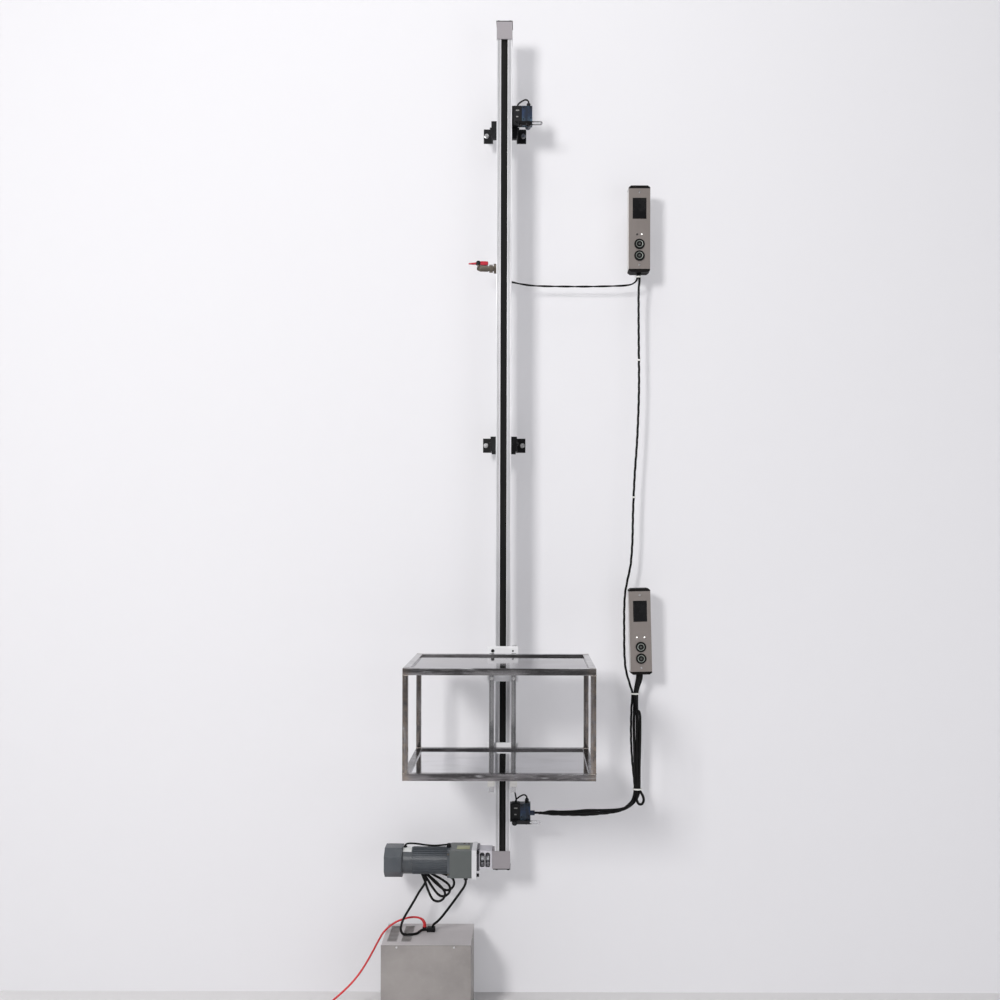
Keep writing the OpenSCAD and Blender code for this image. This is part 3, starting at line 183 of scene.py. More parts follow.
def paint(name, color, rough, dust=0.0, peel=0.00012, wear=0.0, dust_color=(0.55, 0.54, 0.5), metal=0.0,
          **rest):
    """Painted or moulded surface with orange peel, uneven tone, settled dust and small scuffs."""
    g = Finish(name, color, rough, metal, **rest)
    broad, fine = g.noise(6, 4), g.noise(900, 2)
    darker, lighter = tuple(c * 0.86 for c in color), tuple(min(1, c * 1.1 + 0.004) for c in color)
    tone = g.mix(broad.step(0.3, 0.7), darker, lighter)
    if dust:
        tone = g.mix(g.noise(38, 6, 0.7).step(0.45, 0.8) * dust, tone, dust_color)
    if wear:
        scuff = g.noise(150, 4, 0.75, (1, 1, 0.25)).step(0.68, 0.78) * wear
        tone = g.mix(scuff, tone, (0.45, 0.44, 0.42))
    g.set("Base Color", tone)
    g.set("Roughness", rough + 0.16 * (g.noise(22, 4) - 0.5))
    g.bump(fine, peel)
    return g


def dress(names, finish, edge=0.0):
    """Gives CAD nodes their finish, with edges broken by so many millimetres that catch the light."""
    for name in names:
        ob = NODES[name]
        ob.data.materials.clear()
        ob.data.materials.append(finish.mat)
        ob.data.polygons.foreach_set("use_smooth", [True] * len(ob.data.polygons))
        ob.modifiers.new("weld", "WELD").merge_threshold = 0.000004
        if edge:
            bevel = ob.modifiers.new("edges", "BEVEL")
            bevel.width = edge / 1000
            bevel.segments = 2
            bevel.limit_method = "ANGLE"
            bevel.angle_limit = math.radians(35)
        normals = ob.modifiers.new("normals", "WEIGHTED_NORMAL")
        normals.weight = 80
        normals.keep_sharp = False


def metres(points):
    """Millimetres and heights above the floor, as metres from the origin: less its height, over 1000."""
    return (np.array(points, float).reshape(-1, 3) - [0, 0, ANCHOR]) / 1000


def piece(name, parts, body, finishes, replaces=(), sharp=38):
    """One object made of parts, each (points, faces, index of its finish), riding on a body."""
    points, faces, index, start = [], [], [], 0
    for p, f, m in parts:
        points.append(np.array(p, float).reshape(-1, 3))
        faces += [[i + start for i in face] for face in f]
        index += [m] * len(f)
        start += len(points[-1])
    me = bpy.data.meshes.new(name)
    me.from_pydata(metres(np.vstack(points)).tolist(), [], faces)
    me.polygons.foreach_set("material_index", index)
    me.polygons.foreach_set("use_smooth", [True] * len(faces))
    for finish in finishes:
        me.materials.append(finish.mat)
    me.update()
    me.set_sharp_from_angle(angle=math.radians(sharp))
    ob = bpy.data.objects.new(name, me)
    bpy.context.scene.collection.objects.link(ob)
    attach(ob, body)
    if replaces:
        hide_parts(*replaces)
    return ob


def quads(rows, columns, around=True):
    """Quads of a grid of points: each joins a point, the next in its row, and the same two a row on."""
    k = np.arange(columns if around else columns - 1)
    i = columns * np.arange(rows - 1)[:, None]
    j = (k + 1) % columns
    return np.stack([i + k, i + j, i + columns + j, i + columns + k], -1).reshape(-1, 4).tolist()


def ends(rows, columns):
    """The faces that close a grid's first and last rings."""
    return [list(range(columns))[::-1], list(range((rows - 1) * columns, rows * columns))]


def curve_points(route, step=2.0):
    """A smooth curve through the route's points at even steps: a cubic between each two points, whose
    slopes weigh the neighbouring legs by the root of their lengths."""
    p = np.array(route, float)
    q = np.vstack([2 * p[0] - p[1], p, 2 * p[-1] - p[-2]])
    out = []
    for a, b, c, d in zip(q, q[1:], q[2:], q[3:]):
        tb = np.linalg.norm(c - b) ** 0.5
        ta, tc = np.linalg.norm(b - a) ** 0.5, np.linalg.norm(d - c) ** 0.5
        m1 = (c - b) + tb * ((b - a) / ta - (c - a) / (ta + tb))
        m2 = (c - b) + tb * ((d - c) / tc - (d - b) / (tb + tc))
        n = max(1, int(round(np.linalg.norm(c - b) / step)))
        t = np.arange(n)[:, None] / n
        out.append((2 * t**3 - 3 * t**2 + 1) * b + (t**3 - 2 * t**2 + t) * m1
                   + (-2 * t**3 + 3 * t**2) * c + (t**3 - t**2) * m2)
    return np.vstack(out + [p[-1:]])


def frames_along(p):
    """Direction and two cross directions at each point, the first kept square to the path without twist."""
    t = np.gradient(p, axis=0)
    t /= np.linalg.norm(t, axis=1)[:, None]
    n = np.zeros_like(p)
    ref = np.array([0, 0, 1.0]) if abs(t[0, 2]) < 0.9 else np.array([0, 1.0, 0])
    for i, along in enumerate(t):
        ref = ref - (ref @ along) * along
        ref /= np.linalg.norm(ref)
        n[i] = ref
    return t, n, np.cross(t, n)


def sweep(p, r, sides=12, mat=0, caps=True):
    """A tube: at each point of the path, a circle of radius r (one, or one for each point) across it."""
    p = np.array(p, float)
    t, n, b = frames_along(p)
    a = np.linspace(0, 2 * np.pi, sides, endpoint=False)
    rr = np.broadcast_to(np.array(r, float), (len(p),))[:, None, None]
    ring = p[:, None] + rr * (np.cos(a)[:, None] * n[:, None] + np.sin(a)[:, None] * b[:, None])
    return ring.reshape(-1, 3), quads(len(p), sides) + (ends(len(p), sides) if caps else []), mat


black_plastic = paint("black_plastic", (0.007, 0.007, 0.008), 0.44, dust=0.015, Specular_IOR_Level=0.16)
sheath = paint("sheath_black", (0.005, 0.005, 0.005), 0.5, dust=0.01, peel=0.00015, Specular_IOR_Level=0.13)
red_sheath = paint("sheath_red", (0.62, 0.022, 0.028), 0.40, dust=0.04, peel=0.0001)

HANK_LEAD = [(-352, -25, 487), (-352, -16, 487), (-348.5, -8, 485.5), (-339, -4.4, 482), (-322, -4.2, 475.5),
             (-300, -4.2, 467), (-282, -4.6, 459.5)]
MOTOR_TAIL = [(-259.5, -35.5, 434), (-258, -37, 424), (-261, -40, 412), (-269, -45, 399), (-280, -51, 384),
              (-291, -60, 366), (-303, -70, 347), (-315, -80, 329), (-326, -90, 311), (-333, -98, 293),
              (-334, -104, 278), (-328, -107, 267), (-317, -107, 263.3), (-303, -105, 263.2),
              (-290, -101, 263.2), (-280, -93, 263.2), (-276, -82, 263.5), (-269, -72, 264.5),
              (-259, -68, 265), (-251, -68, 265)]
GEARBOX_CORD = [(-120, -118, 449), (-120, -118, 439), (-126, -118, 424), (-137, -118, 408), (-149, -117, 391),
                (-161, -115, 374), (-173, -112, 357), (-185, -107, 340), (-197, -101, 323), (-209, -92, 307),
                (-220, -82, 294), (-229, -73, 284), (-232, -69, 278), (-233.8, -67.2, 269)]
MAINS_CORD = [(-262, -42, 265), (-262, -42, 274), (-267, -43, 286), (-279, -45, 295), (-295, -48, 299),
              (-313, -52, 299), (-331, -57, 296), (-349, -62, 291), (-366, -67, 283), (-382, -73, 272),
              (-396, -79, 258), (-407, -85, 241), (-417, -91, 223), (-427, -97, 205), (-437, -103, 187),
              (-448, -109, 169), (-460, -115, 151), (-473, -121, 134), (-487, -127, 118), (-502, -132, 103),
              (-518, -137, 89), (-535, -141, 75), (-552, -144, 61), (-568, -146, 47), (-584, -148, 33),
              (-600, -149, 20), (-617, -150, 10), (-635, -151, 4.8), (-654, -151.7, 3.3), (-672, -152, 3.3)]
PLUG_LEAD = [(-672, -248, 10.4), (-660, -248, 11.4), (-650, -248, 12.4), (-640, -248, 12.6)]
HANK_RIGHT, HANK_LEFT, HANK_BEND, HANK_WAIST = 98, 42, 21, 5.5
HANK_AT, HANK_ANGLE, HANK_FAN, HANK_PITCH, HANK_TURNS = (-272, -6, 448), -27, -13, 9.7, 3
COIL_AT, COIL_R, COIL_PITCH, COIL_TURNS, COIL_LOW = (-690, -200), 48, 7.1, 3, 3.3


def ease(x):
    """Rises from 0 to 1 with level ends: 3 x squared less 2 x cubed."""
    return x * x * (3 - 2 * x)


def hank_point(turn):
    """A point of the hank, a long loop with round ends and a waist. Of 24 steps in a turn, three run out on
    the right, six go round its end and three run back, then the same on the left. The point is turned by
    the hank's angle plus its fan times the turn, and set forward by the pitch times the turn."""
    f = (turn - math.floor(turn)) * 24

    def side(s, reach):
        """Half width at s from the waist: the waist's, eased to the bend's over the reach."""
        return HANK_WAIST + (HANK_BEND - HANK_WAIST) * ease(min(1, abs(s) / reach))

    def along(share, reach, sign):
        """Place on a side: its share of the reach, out to the right or left, and the half width there."""
        s = reach * share
        return s if sign > 0 else -s, side(s, reach)

    if f < 3:
        q = along(f / 3, HANK_RIGHT, 1)
    elif f < 9:
        a = math.radians(90 - 30 * (f - 3))
        q = (HANK_RIGHT + HANK_BEND * math.cos(a), HANK_BEND * math.sin(a))
    elif f < 12:
        s, w = along((12 - f) / 3, HANK_RIGHT, 1)
        q = (s, -w)
    elif f < 15:
        s, w = along((f - 12) / 3, HANK_LEFT, -1)
        q = (s, -w)
    elif f < 21:
        a = math.radians(-90 - 30 * (f - 15))
        q = (-HANK_LEFT + HANK_BEND * math.cos(a), HANK_BEND * math.sin(a))
    else:
        q = along((24 - f) / 3, HANK_LEFT, -1)
    a = math.radians(HANK_ANGLE + HANK_FAN * turn)
    x, y, h = HANK_AT
    return (x + q[0] * math.cos(a) - q[1] * math.sin(a), y - HANK_PITCH * turn,
            h + q[0] * math.sin(a) + q[1] * math.cos(a))


def hank_route():
    """The lead into the hank, its turns, and a short straight tail that leaves along the last loop."""
    aim = math.radians(HANK_ANGLE + HANK_FAN * HANK_TURNS)
    end = np.array(hank_point(HANK_TURNS))
    tail = [tuple(end + s * np.array([math.cos(aim), 0, math.sin(aim)])) for s in (4, 9)]
    return HANK_LEAD + [hank_point(k / 24) for k in range(24 * HANK_TURNS + 1)] + tail


def coil_point(t):
    """A point of the coil, a spiral inwards on the floor and outwards again on top of it: the radius falls by
    the pitch in a turn and then grows by it, and the height rises by one pitch where it turns back."""
    r = COIL_R - COIL_PITCH * min(t, COIL_TURNS + 0.2, 2 * COIL_TURNS + 0.5 - t)
    h = COIL_LOW + COIL_PITCH * ease(min(1, max(0, (t - COIL_TURNS) / 0.5)))
    a = math.radians(90 + 360 * t)
    return (COIL_AT[0] + r * math.cos(a), COIL_AT[1] + r * math.sin(a), h)


def cord_piece(name, route, diameter, finish, replaces):
    """A round cord along its route."""
    p = curve_points(route, 3.0)
    ob = piece(name, [sweep(p, diameter / 2, 14)], "frame", [finish], replaces)


dress(["mains_plug"], black_plastic, 1.0)
cord_piece("motor_flex", hank_route() + MOTOR_TAIL, 8, sheath,
           ("motor_cord", "motor_cord_hank"))
cord_piece("gearbox_flex", GEARBOX_CORD, 8, sheath, ("gearbox_cord",))
coil = [coil_point(k / 24) for k in range(int((2 * COIL_TURNS + 0.5) * 24) + 1)]
cord_piece("mains_flex", MAINS_CORD + coil + PLUG_LEAD, 6.5, red_sheath,
           ("mains_cord", "mains_coil"))


# ---------------------------------------------------------------- rail and its blocks
# The rail is a drawn profile of satin anodised aluminium, with fine grooves down its front strips, painted
# dark as shade inside the grooves. A bead-blasted block closes each end under a thin black plate, held on
# by black cap screws.

def metal(name, color, rough, grain=(1, 1, 1), grain_scale=260, marks=0.12, wave=0.0, bump=0.00006, **rest):
    """Bare metal whose grain runs along the axis that grain leaves small."""
    g = Finish(name, color, rough, 1.0, **rest)
    lines = g.noise(grain_scale, 3, 0.6, grain)
    blotch = g.noise(9, 5, 0.6)
    darker, lighter = tuple(c * 0.9 for c in color), tuple(min(1, c * 1.06) for c in color)
    g.set("Base Color", g.mix(0.5 * lines + 0.5 * blotch, darker, lighter))
    g.set("Roughness", rough + marks * (lines - 0.5) + marks * 0.8 * (blotch - 0.5))
    g.bump(lines, bump)
    if wave:
        g.bump(g.noise(7, 2), wave)
    return g


rail = metal("rail_anodised", (0.80, 0.81, 0.82), 0.36, (1, 1, 0.004), 700, 0.14)
rail_x = abs(rail.axis(0))
rail.set("Metallic", 0.45)
# the three groove lines: bumped in, and painted dark as the shade inside them
rail_grooves_and_shade = sum(abs(rail_x - c).step(0.0011, 0.0003) for c in (0.0145, 0.0175, 0.0205))
rail_smear = rail.noise(4, 5, 0.6, (3, 3, 1)).step(0.35, 0.75)
rail_tone = rail.mix(rail_smear, (0.70, 0.70, 0.72), (0.84, 0.84, 0.86))
rail.set("Base Color", rail.mix(rail_grooves_and_shade * 0.75, rail_tone, (0.16, 0.16, 0.17)))
rail.bump(1 - rail_grooves_and_shade, 0.0006)
block = metal("block_satin", (0.31, 0.29, 0.305), 0.50, (1, 1, 1), 900, 0.10, bump=0.0001)
block.set("Metallic", 0.3)
black = paint("black_powder", (0.007, 0.007, 0.008), 0.48, dust=0.015, wear=0.12, peel=0.0002,
              Specular_IOR_Level=0.14)

dress(["rail_profile"], rail, 0.35)
dress(["top_block", "bottom_block"], block, 0.8)
dress(["end_plates"], black, 0.5)
dress(["cap_screws"], black_plastic, 0.4)


# ---------------------------------------------------------------- wall brackets
# Folded steel brackets, powder-coated black, stand on the wall on zinc-plated bolts. A black cap screw
# through each one's leg holds a clamp that grips the rail.

zinc = metal("zinc_plated", (0.70, 0.70, 0.71), 0.27, (1, 1, 1), 500, 0.16)

dress(["rail_clamps", "wall_brackets"], black, 0.5)
dress(["wall_bolts"], zinc, 0.3)


# ---------------------------------------------------------------- belt, pulleys and shafts
# A rubber belt with a cloth-grained back runs in the rail's slot round a cast pulley in each block. The
# pulleys turn on plated shafts and bearings, and cast hubs couple the lower one to the gearbox.

belt = Finish("belt_rubber", (0.007, 0.007, 0.007), 0.6, Specular_IOR_Level=0.12)
belt_marks = belt.noise(120, 4, 0.6, (1, 1, 0.02))
belt.set("Base Color", belt.mix(belt_marks.step(0.45, 0.8), (0.005, 0.005, 0.005), (0.018, 0.017, 0.017)))
belt.set("Roughness", 0.42 + 0.3 * belt_marks)
belt.bump(belt.noise(1600, 2), 0.0001)
cast = metal("housing_silver", (0.70, 0.72, 0.74), 0.34, (1, 1, 1), 420, 0.14, bump=0.00018)

dress(["drive_belt"], belt)
dress(["drive_pulley", "coupling_hubs", "idler_pulley"], cast, 0.3)
dress(["pulley_bearings", "drive_shafts"], zinc, 0.3)


# ---------------------------------------------------------------- motor, gearbox and coupling
# A brake motor and its gearbox lie to the left of the rail's foot: castings painted a satin dark grey and
# dusty on top, with an unpainted flange. A silvery casting with arched windows joins them to the foot
# block round the coupling, its foot painted dark as shade.

MOTOR_Y, MOTOR_H, DRIVE_H = -85, 502, 513


def slab(x, y, z, r=0.0, mat=0, steps=2):
    """A box between two corners, with its edges rounded by r."""
    low, high = Vector((x[0], y[0], z[0])), Vector((x[1], y[1], z[1]))
    bm = bmesh.new()
    place = Matrix.Translation((low + high) / 2) @ Matrix.Diagonal((*(high - low), 1))
    bmesh.ops.create_cube(bm, size=1, matrix=place)
    if r:
        bmesh.ops.bevel(bm, geom=bm.edges[:], offset=r, segments=steps, affect="EDGES", profile=0.5)
    bm.verts.index_update()
    out = [v.co[:] for v in bm.verts], [[v.index for v in f.verts] for f in bm.faces], mat
    bm.free()
    return out


def rings(profile, origin, axis, sides):
    """Circles about an axis, one for each (radius, distance along the axis) of the profile."""
    p = np.array(profile, float)
    a = np.linspace(0, 2 * np.pi, sides, endpoint=False)
    r, t = p[:, 0][:, None], p[:, 1][:, None] + 0 * a
    u, w = r * np.cos(a), r * np.sin(a)
    return np.stack({"x": (t, u, w), "y": (w, t, u), "z": (u, w, t)}[axis], -1) + origin


def turned(profile, origin, axis="z", mat=0, sides=40):
    """A turned shape: the profile's circles joined up, and closed where an end has a radius."""
    first, last = ends(len(profile), sides)
    closed = [first] * (profile[0][0] > 1e-6) + [last] * (profile[-1][0] > 1e-6)
    points = rings(profile, origin, axis, sides).reshape(-1, 3)
    return points, quads(len(profile), sides) + closed, mat


grey_dust = (0.3, 0.3, 0.3)
drive = paint("drive_paint", (0.066, 0.075, 0.086), 0.34, dust=0.10, peel=0.00022, wear=0.12,
              dust_color=grey_dust)
case_tone = (0.092, 0.102, 0.100)
drive_case = paint("drive_paint_case", case_tone, 0.38, dust=0.10, peel=0.0002, dust_color=(0.3, 0.3, 0.28))
flange_at = drive_case.axis(0).step(-0.1002, -0.0998)
drive_case.set("Base Color", drive_case.mix(flange_at, case_tone, (0.74, 0.74, 0.76)))
drive_case.set("Metallic", flange_at * 0.6)
shield = paint("shield_paint", (0.058, 0.065, 0.073), 0.32, dust=0.10, peel=0.00018, dust_color=grey_dust)
coupling = metal("coupling_casting", (0.60, 0.61, 0.64), 0.36, (1, 1, 1), 420, 0.14, bump=0.00018)
coupling.set("Metallic", 0.4)
# painted shade: the coupling housing is dark at its foot, left of x = -76 mm
coupling_foot_shade = coupling.axis(0).step(-0.0765, -0.0755)
coupling.set("Base Color", coupling.mix(coupling_foot_shade, (0.09, 0.088, 0.10), (0.58, 0.57, 0.61)))
nickel = metal("nickel", (0.15, 0.132, 0.11), 0.30, (1, 1, 1), 300, 0.18)
label_white = paint("label_blank", (0.62, 0.63, 0.62), 0.4, peel=0.00003)
label_olive = paint("plate_blank", (0.30, 0.31, 0.17), 0.34, peel=0.00004, metal=0.3)

dress(["coupling_housing"], coupling, 0.8)
dress(["gearbox_case"], drive_case, 1.2)
dress(["motor_body"], drive, 0.3)
dress(["motor_end_shield"], shield, 0.8)
dress(["brake_cover"], drive, 1.2)

# blank label wrapped over the end shield's top, and a blank plate on the gearbox's top
t = np.radians(np.linspace(54, 100, 14))[:, None]
label_x = np.array([-328, -299]) + 0 * t
label = np.stack([label_x, MOTOR_Y - 43.35 * np.cos(t) + 0 * label_x,
                  MOTOR_H + 43.35 * np.sin(t) + 0 * label_x], -1)
parts = [(label, quads(14, 2, around=False), 0), slab((-150, -108), (-112, -74), (546.8, 547.5), 0.25, 1)]
# joint screws between the motor, its pad and the gearbox
for z in (-33, 33):
    screw = [(3.0, -129.6), (3.0, -131.6), (2.4, -132.1), (0, -132.1)]
    parts.append(turned(screw, (-177, 0, MOTOR_H + z), "y", 2, 24))
for x in (-128, -112):
    parts.append(turned([(3.2, 546.8), (3.2, 549), (2.6, 549.5), (0, 549.5)], (x, -52, 0), "z", 2, 24))
# gland at the end of the top lead, and the grommet where it leaves the shield
gland = [(8, 546), (8, 549), (6.6, 550), (6.6, 556), (5, 558), (0, 558)]
parts.append(turned(gland, (-178, MOTOR_Y, 0), "z", 3, 28))
parts.append(turned([(6, 543), (6, 548), (5, 549.5), (3.4, 550.5)], (-322, MOTOR_Y, 0), "z", 3, 24))
# bolts of the brake cover, and the round recess on its front
for y, z in ((-26, -26), (-26, 26), (26, -26), (26, 26)):
    bolt = [(0, -388.6), (3.2, -388.6), (3.8, -388.1), (3.8, -386.8)]
    parts.append(turned(bolt, (0, MOTOR_Y + y, MOTOR_H + z), "x", 2, 24))
recess = [(0, -387.7), (9, -387.7), (10, -387.2), (10, -386.8)]
parts.append(turned(recess, (0, MOTOR_Y, MOTOR_H), "x", 3, 36))
# black bolt heads with washers on the flange's right face
for y in (-37, 37):
    for z in (-37, 37):
        head_and_washer = [(7.2, -84), (7.2, -82.8), (5.4, -82.6), (5.4, -76.4), (4.8, -75.8), (0, -75.8)]
        parts.append(turned(head_and_washer, (0, MOTOR_Y + y, MOTOR_H + z), "x", 3, 28))
# black lips round the arched windows of the coupling housing
LIP_Y, LIP_HALF = -115.3, 6.2
for x in (-66, -48):
    arch = [(x + LIP_HALF * math.cos(t), LIP_Y, DRIVE_H + 16 + LIP_HALF * math.sin(t))
            for t in np.linspace(0, np.pi, 13)]
    right = [(x + LIP_HALF, LIP_Y, h) for h in (492, 503, 515)]
    left = [(x - LIP_HALF, LIP_Y, h) for h in (515, 503, 492)]
    loop = right + arch + left + [(x - 3, LIP_Y, 491), (x + 3, LIP_Y, 491), right[0]]
    parts.append(sweep(loop, 1.7, 8, 3))
piece("drive_details", parts, "frame", [label_white, label_olive, nickel, black_plastic])


# ---------------------------------------------------------------- carriage
# Milled plates and polished posts carry the cage, and white nylon blocks guide them on the rail. Plated
# bolts hold them together, two plated strikers meet the switches, and black discs in two holes stand in
# for the shade inside them.

plate = metal("plate_milled", (0.90, 0.90, 0.92), 0.36, (1, 1, 0.05), 420, 0.14)
plate.set("Metallic", 0.1)
post = metal("post_polished", (0.46, 0.46, 0.47), 0.22, (1, 1, 0.01), 700, 0.14)
nylon = paint("nylon", (0.80, 0.79, 0.76), 0.45, dust=0.05)

dress(["carriage_plates", "belt_clamp"], plate, 0.4)
dress(["carriage_posts"], post, 0.6)
dress(["guide_blocks"], nylon, 0.6)
dress(["carriage_bolts", "switch_strikers"], zinc, 0.3)
# painted shade: black discs set into two holes of the plate, where the holes look dark
hole_shade_discs = [turned([(r, -120.6), (r, -121.6), (r - 0.6, -122.2), (0, -122.2)], (x, 0, 1200), "y", 0, 28)
         for x, r in ((-33, 5.8), (33, 3.2))]
piece("plate_hole_shade", hole_shade_discs, "carriage", [black_plastic])


# ---------------------------------------------------------------- cage
# A box frame of polished square stainless tube, with a mirror sheet as its roof and another as its floor.
# Its corners are welded: a bead runs round both ends of each upright and along each mitre, and the heat
# has left a straw tint. Dark streaks and bright glints are painted along the tubes as reflections, the
# bottom frame is a darker shaded copy of the top frame's tube, and the roof sheet is painted darker as a
# reflection.

def reflections_and_heat_tint(g, base, along):
    """Painted reflections along a tube, dark streaks and bright glints, and straw and brown tint near the
    cage's welded corners.
    """
    # painted reflections: dark streaks and bright glints along the tube
    painted_dark_streak = g.noise(34, 4, 0.65, along).step(0.38, 0.62)
    painted_glint = g.noise(88, 3, 0.6, along, (3, 1, 2)).step(0.58, 0.74) * 0.8
    base = g.mix(painted_glint, g.mix(painted_dark_streak, tuple(c * 0.30 for c in base), base), (0.74, 0.74, 0.76))
    x = abs(g.axis(0)).step(0.245, 0.275)
    y = abs(g.axis(1) + 0.327).step(0.155, 0.185)
    stain = x * y * g.noise(60, 4, 0.7).step(0.3, 0.65)
    g.set("Base Color", g.mix(stain * 0.8, base, (0.34, 0.28, 0.23)))


tube_x = metal("cage_polished", (0.60, 0.59, 0.60), 0.15, (1, 1, 1), 90, 0.14, wave=0.0012,
               bump=0.00003)
reflections_and_heat_tint(tube_x, (0.46, 0.45, 0.46), (0.16, 0.3, 2.2))
# painted shade: the bottom frame is a darker copy of the top frame's polished tube
tube_shaded_low = metal("cage_polished_shaded", (0.26, 0.25, 0.26), 0.17, (1, 1, 1), 90, 0.14, wave=0.0012,
                 bump=0.00003)
reflections_and_heat_tint(tube_shaded_low, (0.26, 0.25, 0.26), (0.16, 0.3, 2.2))
upright = metal("upright_polished", (0.58, 0.57, 0.58), 0.16, (1, 1, 0.02), 500, 0.12, wave=0.0012,
                bump=0.00003)
reflections_and_heat_tint(upright, (0.42, 0.41, 0.43), (2.2, 1.0, 0.14))
weld = metal("weld_bead", (0.30, 0.27, 0.25), 0.36, (1, 1, 1), 240, 0.2, bump=0.0004)
mirror = Finish("sheet_mirror", (0.66, 0.66, 0.67), 0.06, 1.0)
wipe = mirror.noise(5, 5, 0.65, (1, 2.4, 1)).step(0.4, 0.8)
scratch = mirror.noise(260, 2, 0.5, (0.03, 1, 1)).step(0.66, 0.72)
mirror.set("Roughness", 0.035 + 0.10 * wipe + 0.12 * scratch)
# painted reflection: the roof sheet is darker than the floor sheet
roof_painted_dark = mirror.axis(2).step(-0.80, -0.78)
mirror.set("Base Color", mirror.mix(wipe * 0.5, mirror.mix(roof_painted_dark, (0.78, 0.78, 0.80), (0.24, 0.23, 0.245)),
                                    (0.50, 0.50, 0.51)))
mirror.bump(mirror.noise(2.6, 1), 0.009, 0.5)

dress(["cage_top_frame"], tube_x, 1.2)
dress(["cage_bottom_frame"], tube_shaded_low, 1.2)
dress(["cage_uprights"], upright, 1.2)
dress(["cage_sheets"], mirror)

CAGE_HALF_W, TUBE_W, CAGE_FRONT, CAGE_BACK, CAGE_FOOT_H, CAGE_TOP_H = 280, 20, -516, -138, 868, 1193
rng = np.random.default_rng(7)
beads = []
for x in (-272, 272):
    for y in (-508, -146):
        for h in (CAGE_FOOT_H + TUBE_W, CAGE_TOP_H - TUBE_W):
            s = np.linspace(0, 2 * np.pi, 57)[:-1]
            c, sn = np.cos(s), np.sin(s)
            k = 8.3 / np.maximum(abs(c), abs(sn)) ** 0.85
            lift = 0.5 if h < 1000 else -0.5
            path = np.stack([x + k * c * 0.98, y + k * sn * 0.98, 0 * s + h + lift], -1)
            r = 1.15 + 0.35 * np.sin(s * 14 + rng.uniform(0, 6)) + rng.uniform(-0.12, 0.12, len(s))
            p, f, m = sweep(path, r, 8, 0, caps=False)
            n = len(s) - 1
            f += [[n * 8 + q, n * 8 + (q + 1) % 8, (q + 1) % 8, q] for q in range(8)]
            beads.append((p, f, m))
for x in (-1, 1):
    for y0, sy in ((CAGE_FRONT, 1), (CAGE_BACK, -1)):
        for h in (CAGE_FOOT_H, CAGE_TOP_H):
            q = np.linspace(0.05, 0.95, 22)
            path = np.stack([x * (CAGE_HALF_W - TUBE_W * q), y0 + sy * TUBE_W * q, 0 * q + h], -1)
            r = 0.55 + 0.22 * np.sin(q * 60) + rng.uniform(-0.05, 0.05, len(q))
            beads.append(sweep(path, r, 6))
piece("cage_welds", beads, "carriage", [weld])


# ---------------------------------------------------------------- limit switches
# Two bought-in switches stop the carriage: a black moulded body with a gland on top, and a head that runs
# from teal above to pale blue below. The arm is bright steel at its end, and painted dark as shade where
# it crosses the head.

SWITCHES = (2937, 634)
head = paint("switch_head", (0.05, 0.13, 0.24), 0.38, dust=0.05, Specular_IOR_Level=0.4)
head_h = head.axis(2)
# share of the way up from the lower switch to the upper, so that both heads are coloured alike
head_up = head.math("FRACT", (head_h + 1.25) * 0.43422)
teal_or_navy = head.mix(head_up.step(0.019, 0.027), (0.012, 0.033, 0.085), (0.010, 0.040, 0.058))
head_tone = head.mix(head_up.step(0.003, 0.014), (0.060, 0.115, 0.17), teal_or_navy)
grime = head.noise(60, 3, 0.6, (1, 1, 0.4)).step(0.4, 0.66)
head.set("Base Color", head.mix(grime, (0.006, 0.012, 0.026), head_tone))
arm_steel = metal("arm_steel", (0.60, 0.60, 0.62), 0.26, (0.05, 1, 1), 500, 0.16)
# painted shade: the arm is dark left of about 95 mm, in front of the body and head
arm_out_of_shade = arm_steel.axis(0).step(0.090, 0.100)
arm_steel.set("Base Color", arm_steel.mix(arm_out_of_shade, (0.035, 0.035, 0.037), (0.56, 0.56, 0.58)))
label_grey = paint("label_grey", (0.22, 0.22, 0.21), 0.4, peel=0.00003)

dress(["switch_bodies"], black_plastic, 1.0)
dress(["switch_heads"], head, 1.0)
dress(["upper_switch_lever", "lower_switch_lever"], arm_steel, 0.25)
dress(["lower_switch_roller", "upper_switch_roller"], black_plastic, 0.6)

trim = []
for h in SWITCHES:
    for z in (8, 52):
        for x in (34, 53):
            body_screw = [(2.4, -99.9), (2.4, -100.9), (1.9, -101.3), (0, -101.3)]
            trim.append(turned(body_screw, (x, 0, h + z), "y", 0, 20))
    trim.append(slab((38, 49), (-100.3, -99.8), (h + 43, h + 47), 0.15, 1))
    trim.append(slab((39, 46), (-100.3, -99.8), (h + 22, h + 26), 0.15, 1))
    trim.append(slab((31, 56), (-96, -76), (h + 60, h + 62.5), 1.0, 2))
    gland = [(7.4, 0), (7.4, 4), (6.4, 5), (6.4, 11), (5.2, 13.2), (3.2, 15.5), (2.8, 15.5)]
    trim.append(turned(gland, (80, -86, h + 60), "z", 3, 28))
    for x, z in ((63, 54), (87, 54), (63, 16), (87, 20)):
        head_screw = [(2.2, -99.9), (2.2, -100.8), (1.7, -101.2), (0, -101.2)]
        trim.append(turned(head_screw, (x, 0, h + z), "y", 0, 20))
piece("switch_trim", trim, "frame", [black_plastic, label_grey, black_plastic, black_plastic])


# ---------------------------------------------------------------- call panels
# Each panel is a brushed steel housing with black caps at both ends and a darker brushed face. In the face
# sit a dark window in a gasket, two small lamps and two push buttons in black rings. The lower panel hangs
# a little out of plumb.

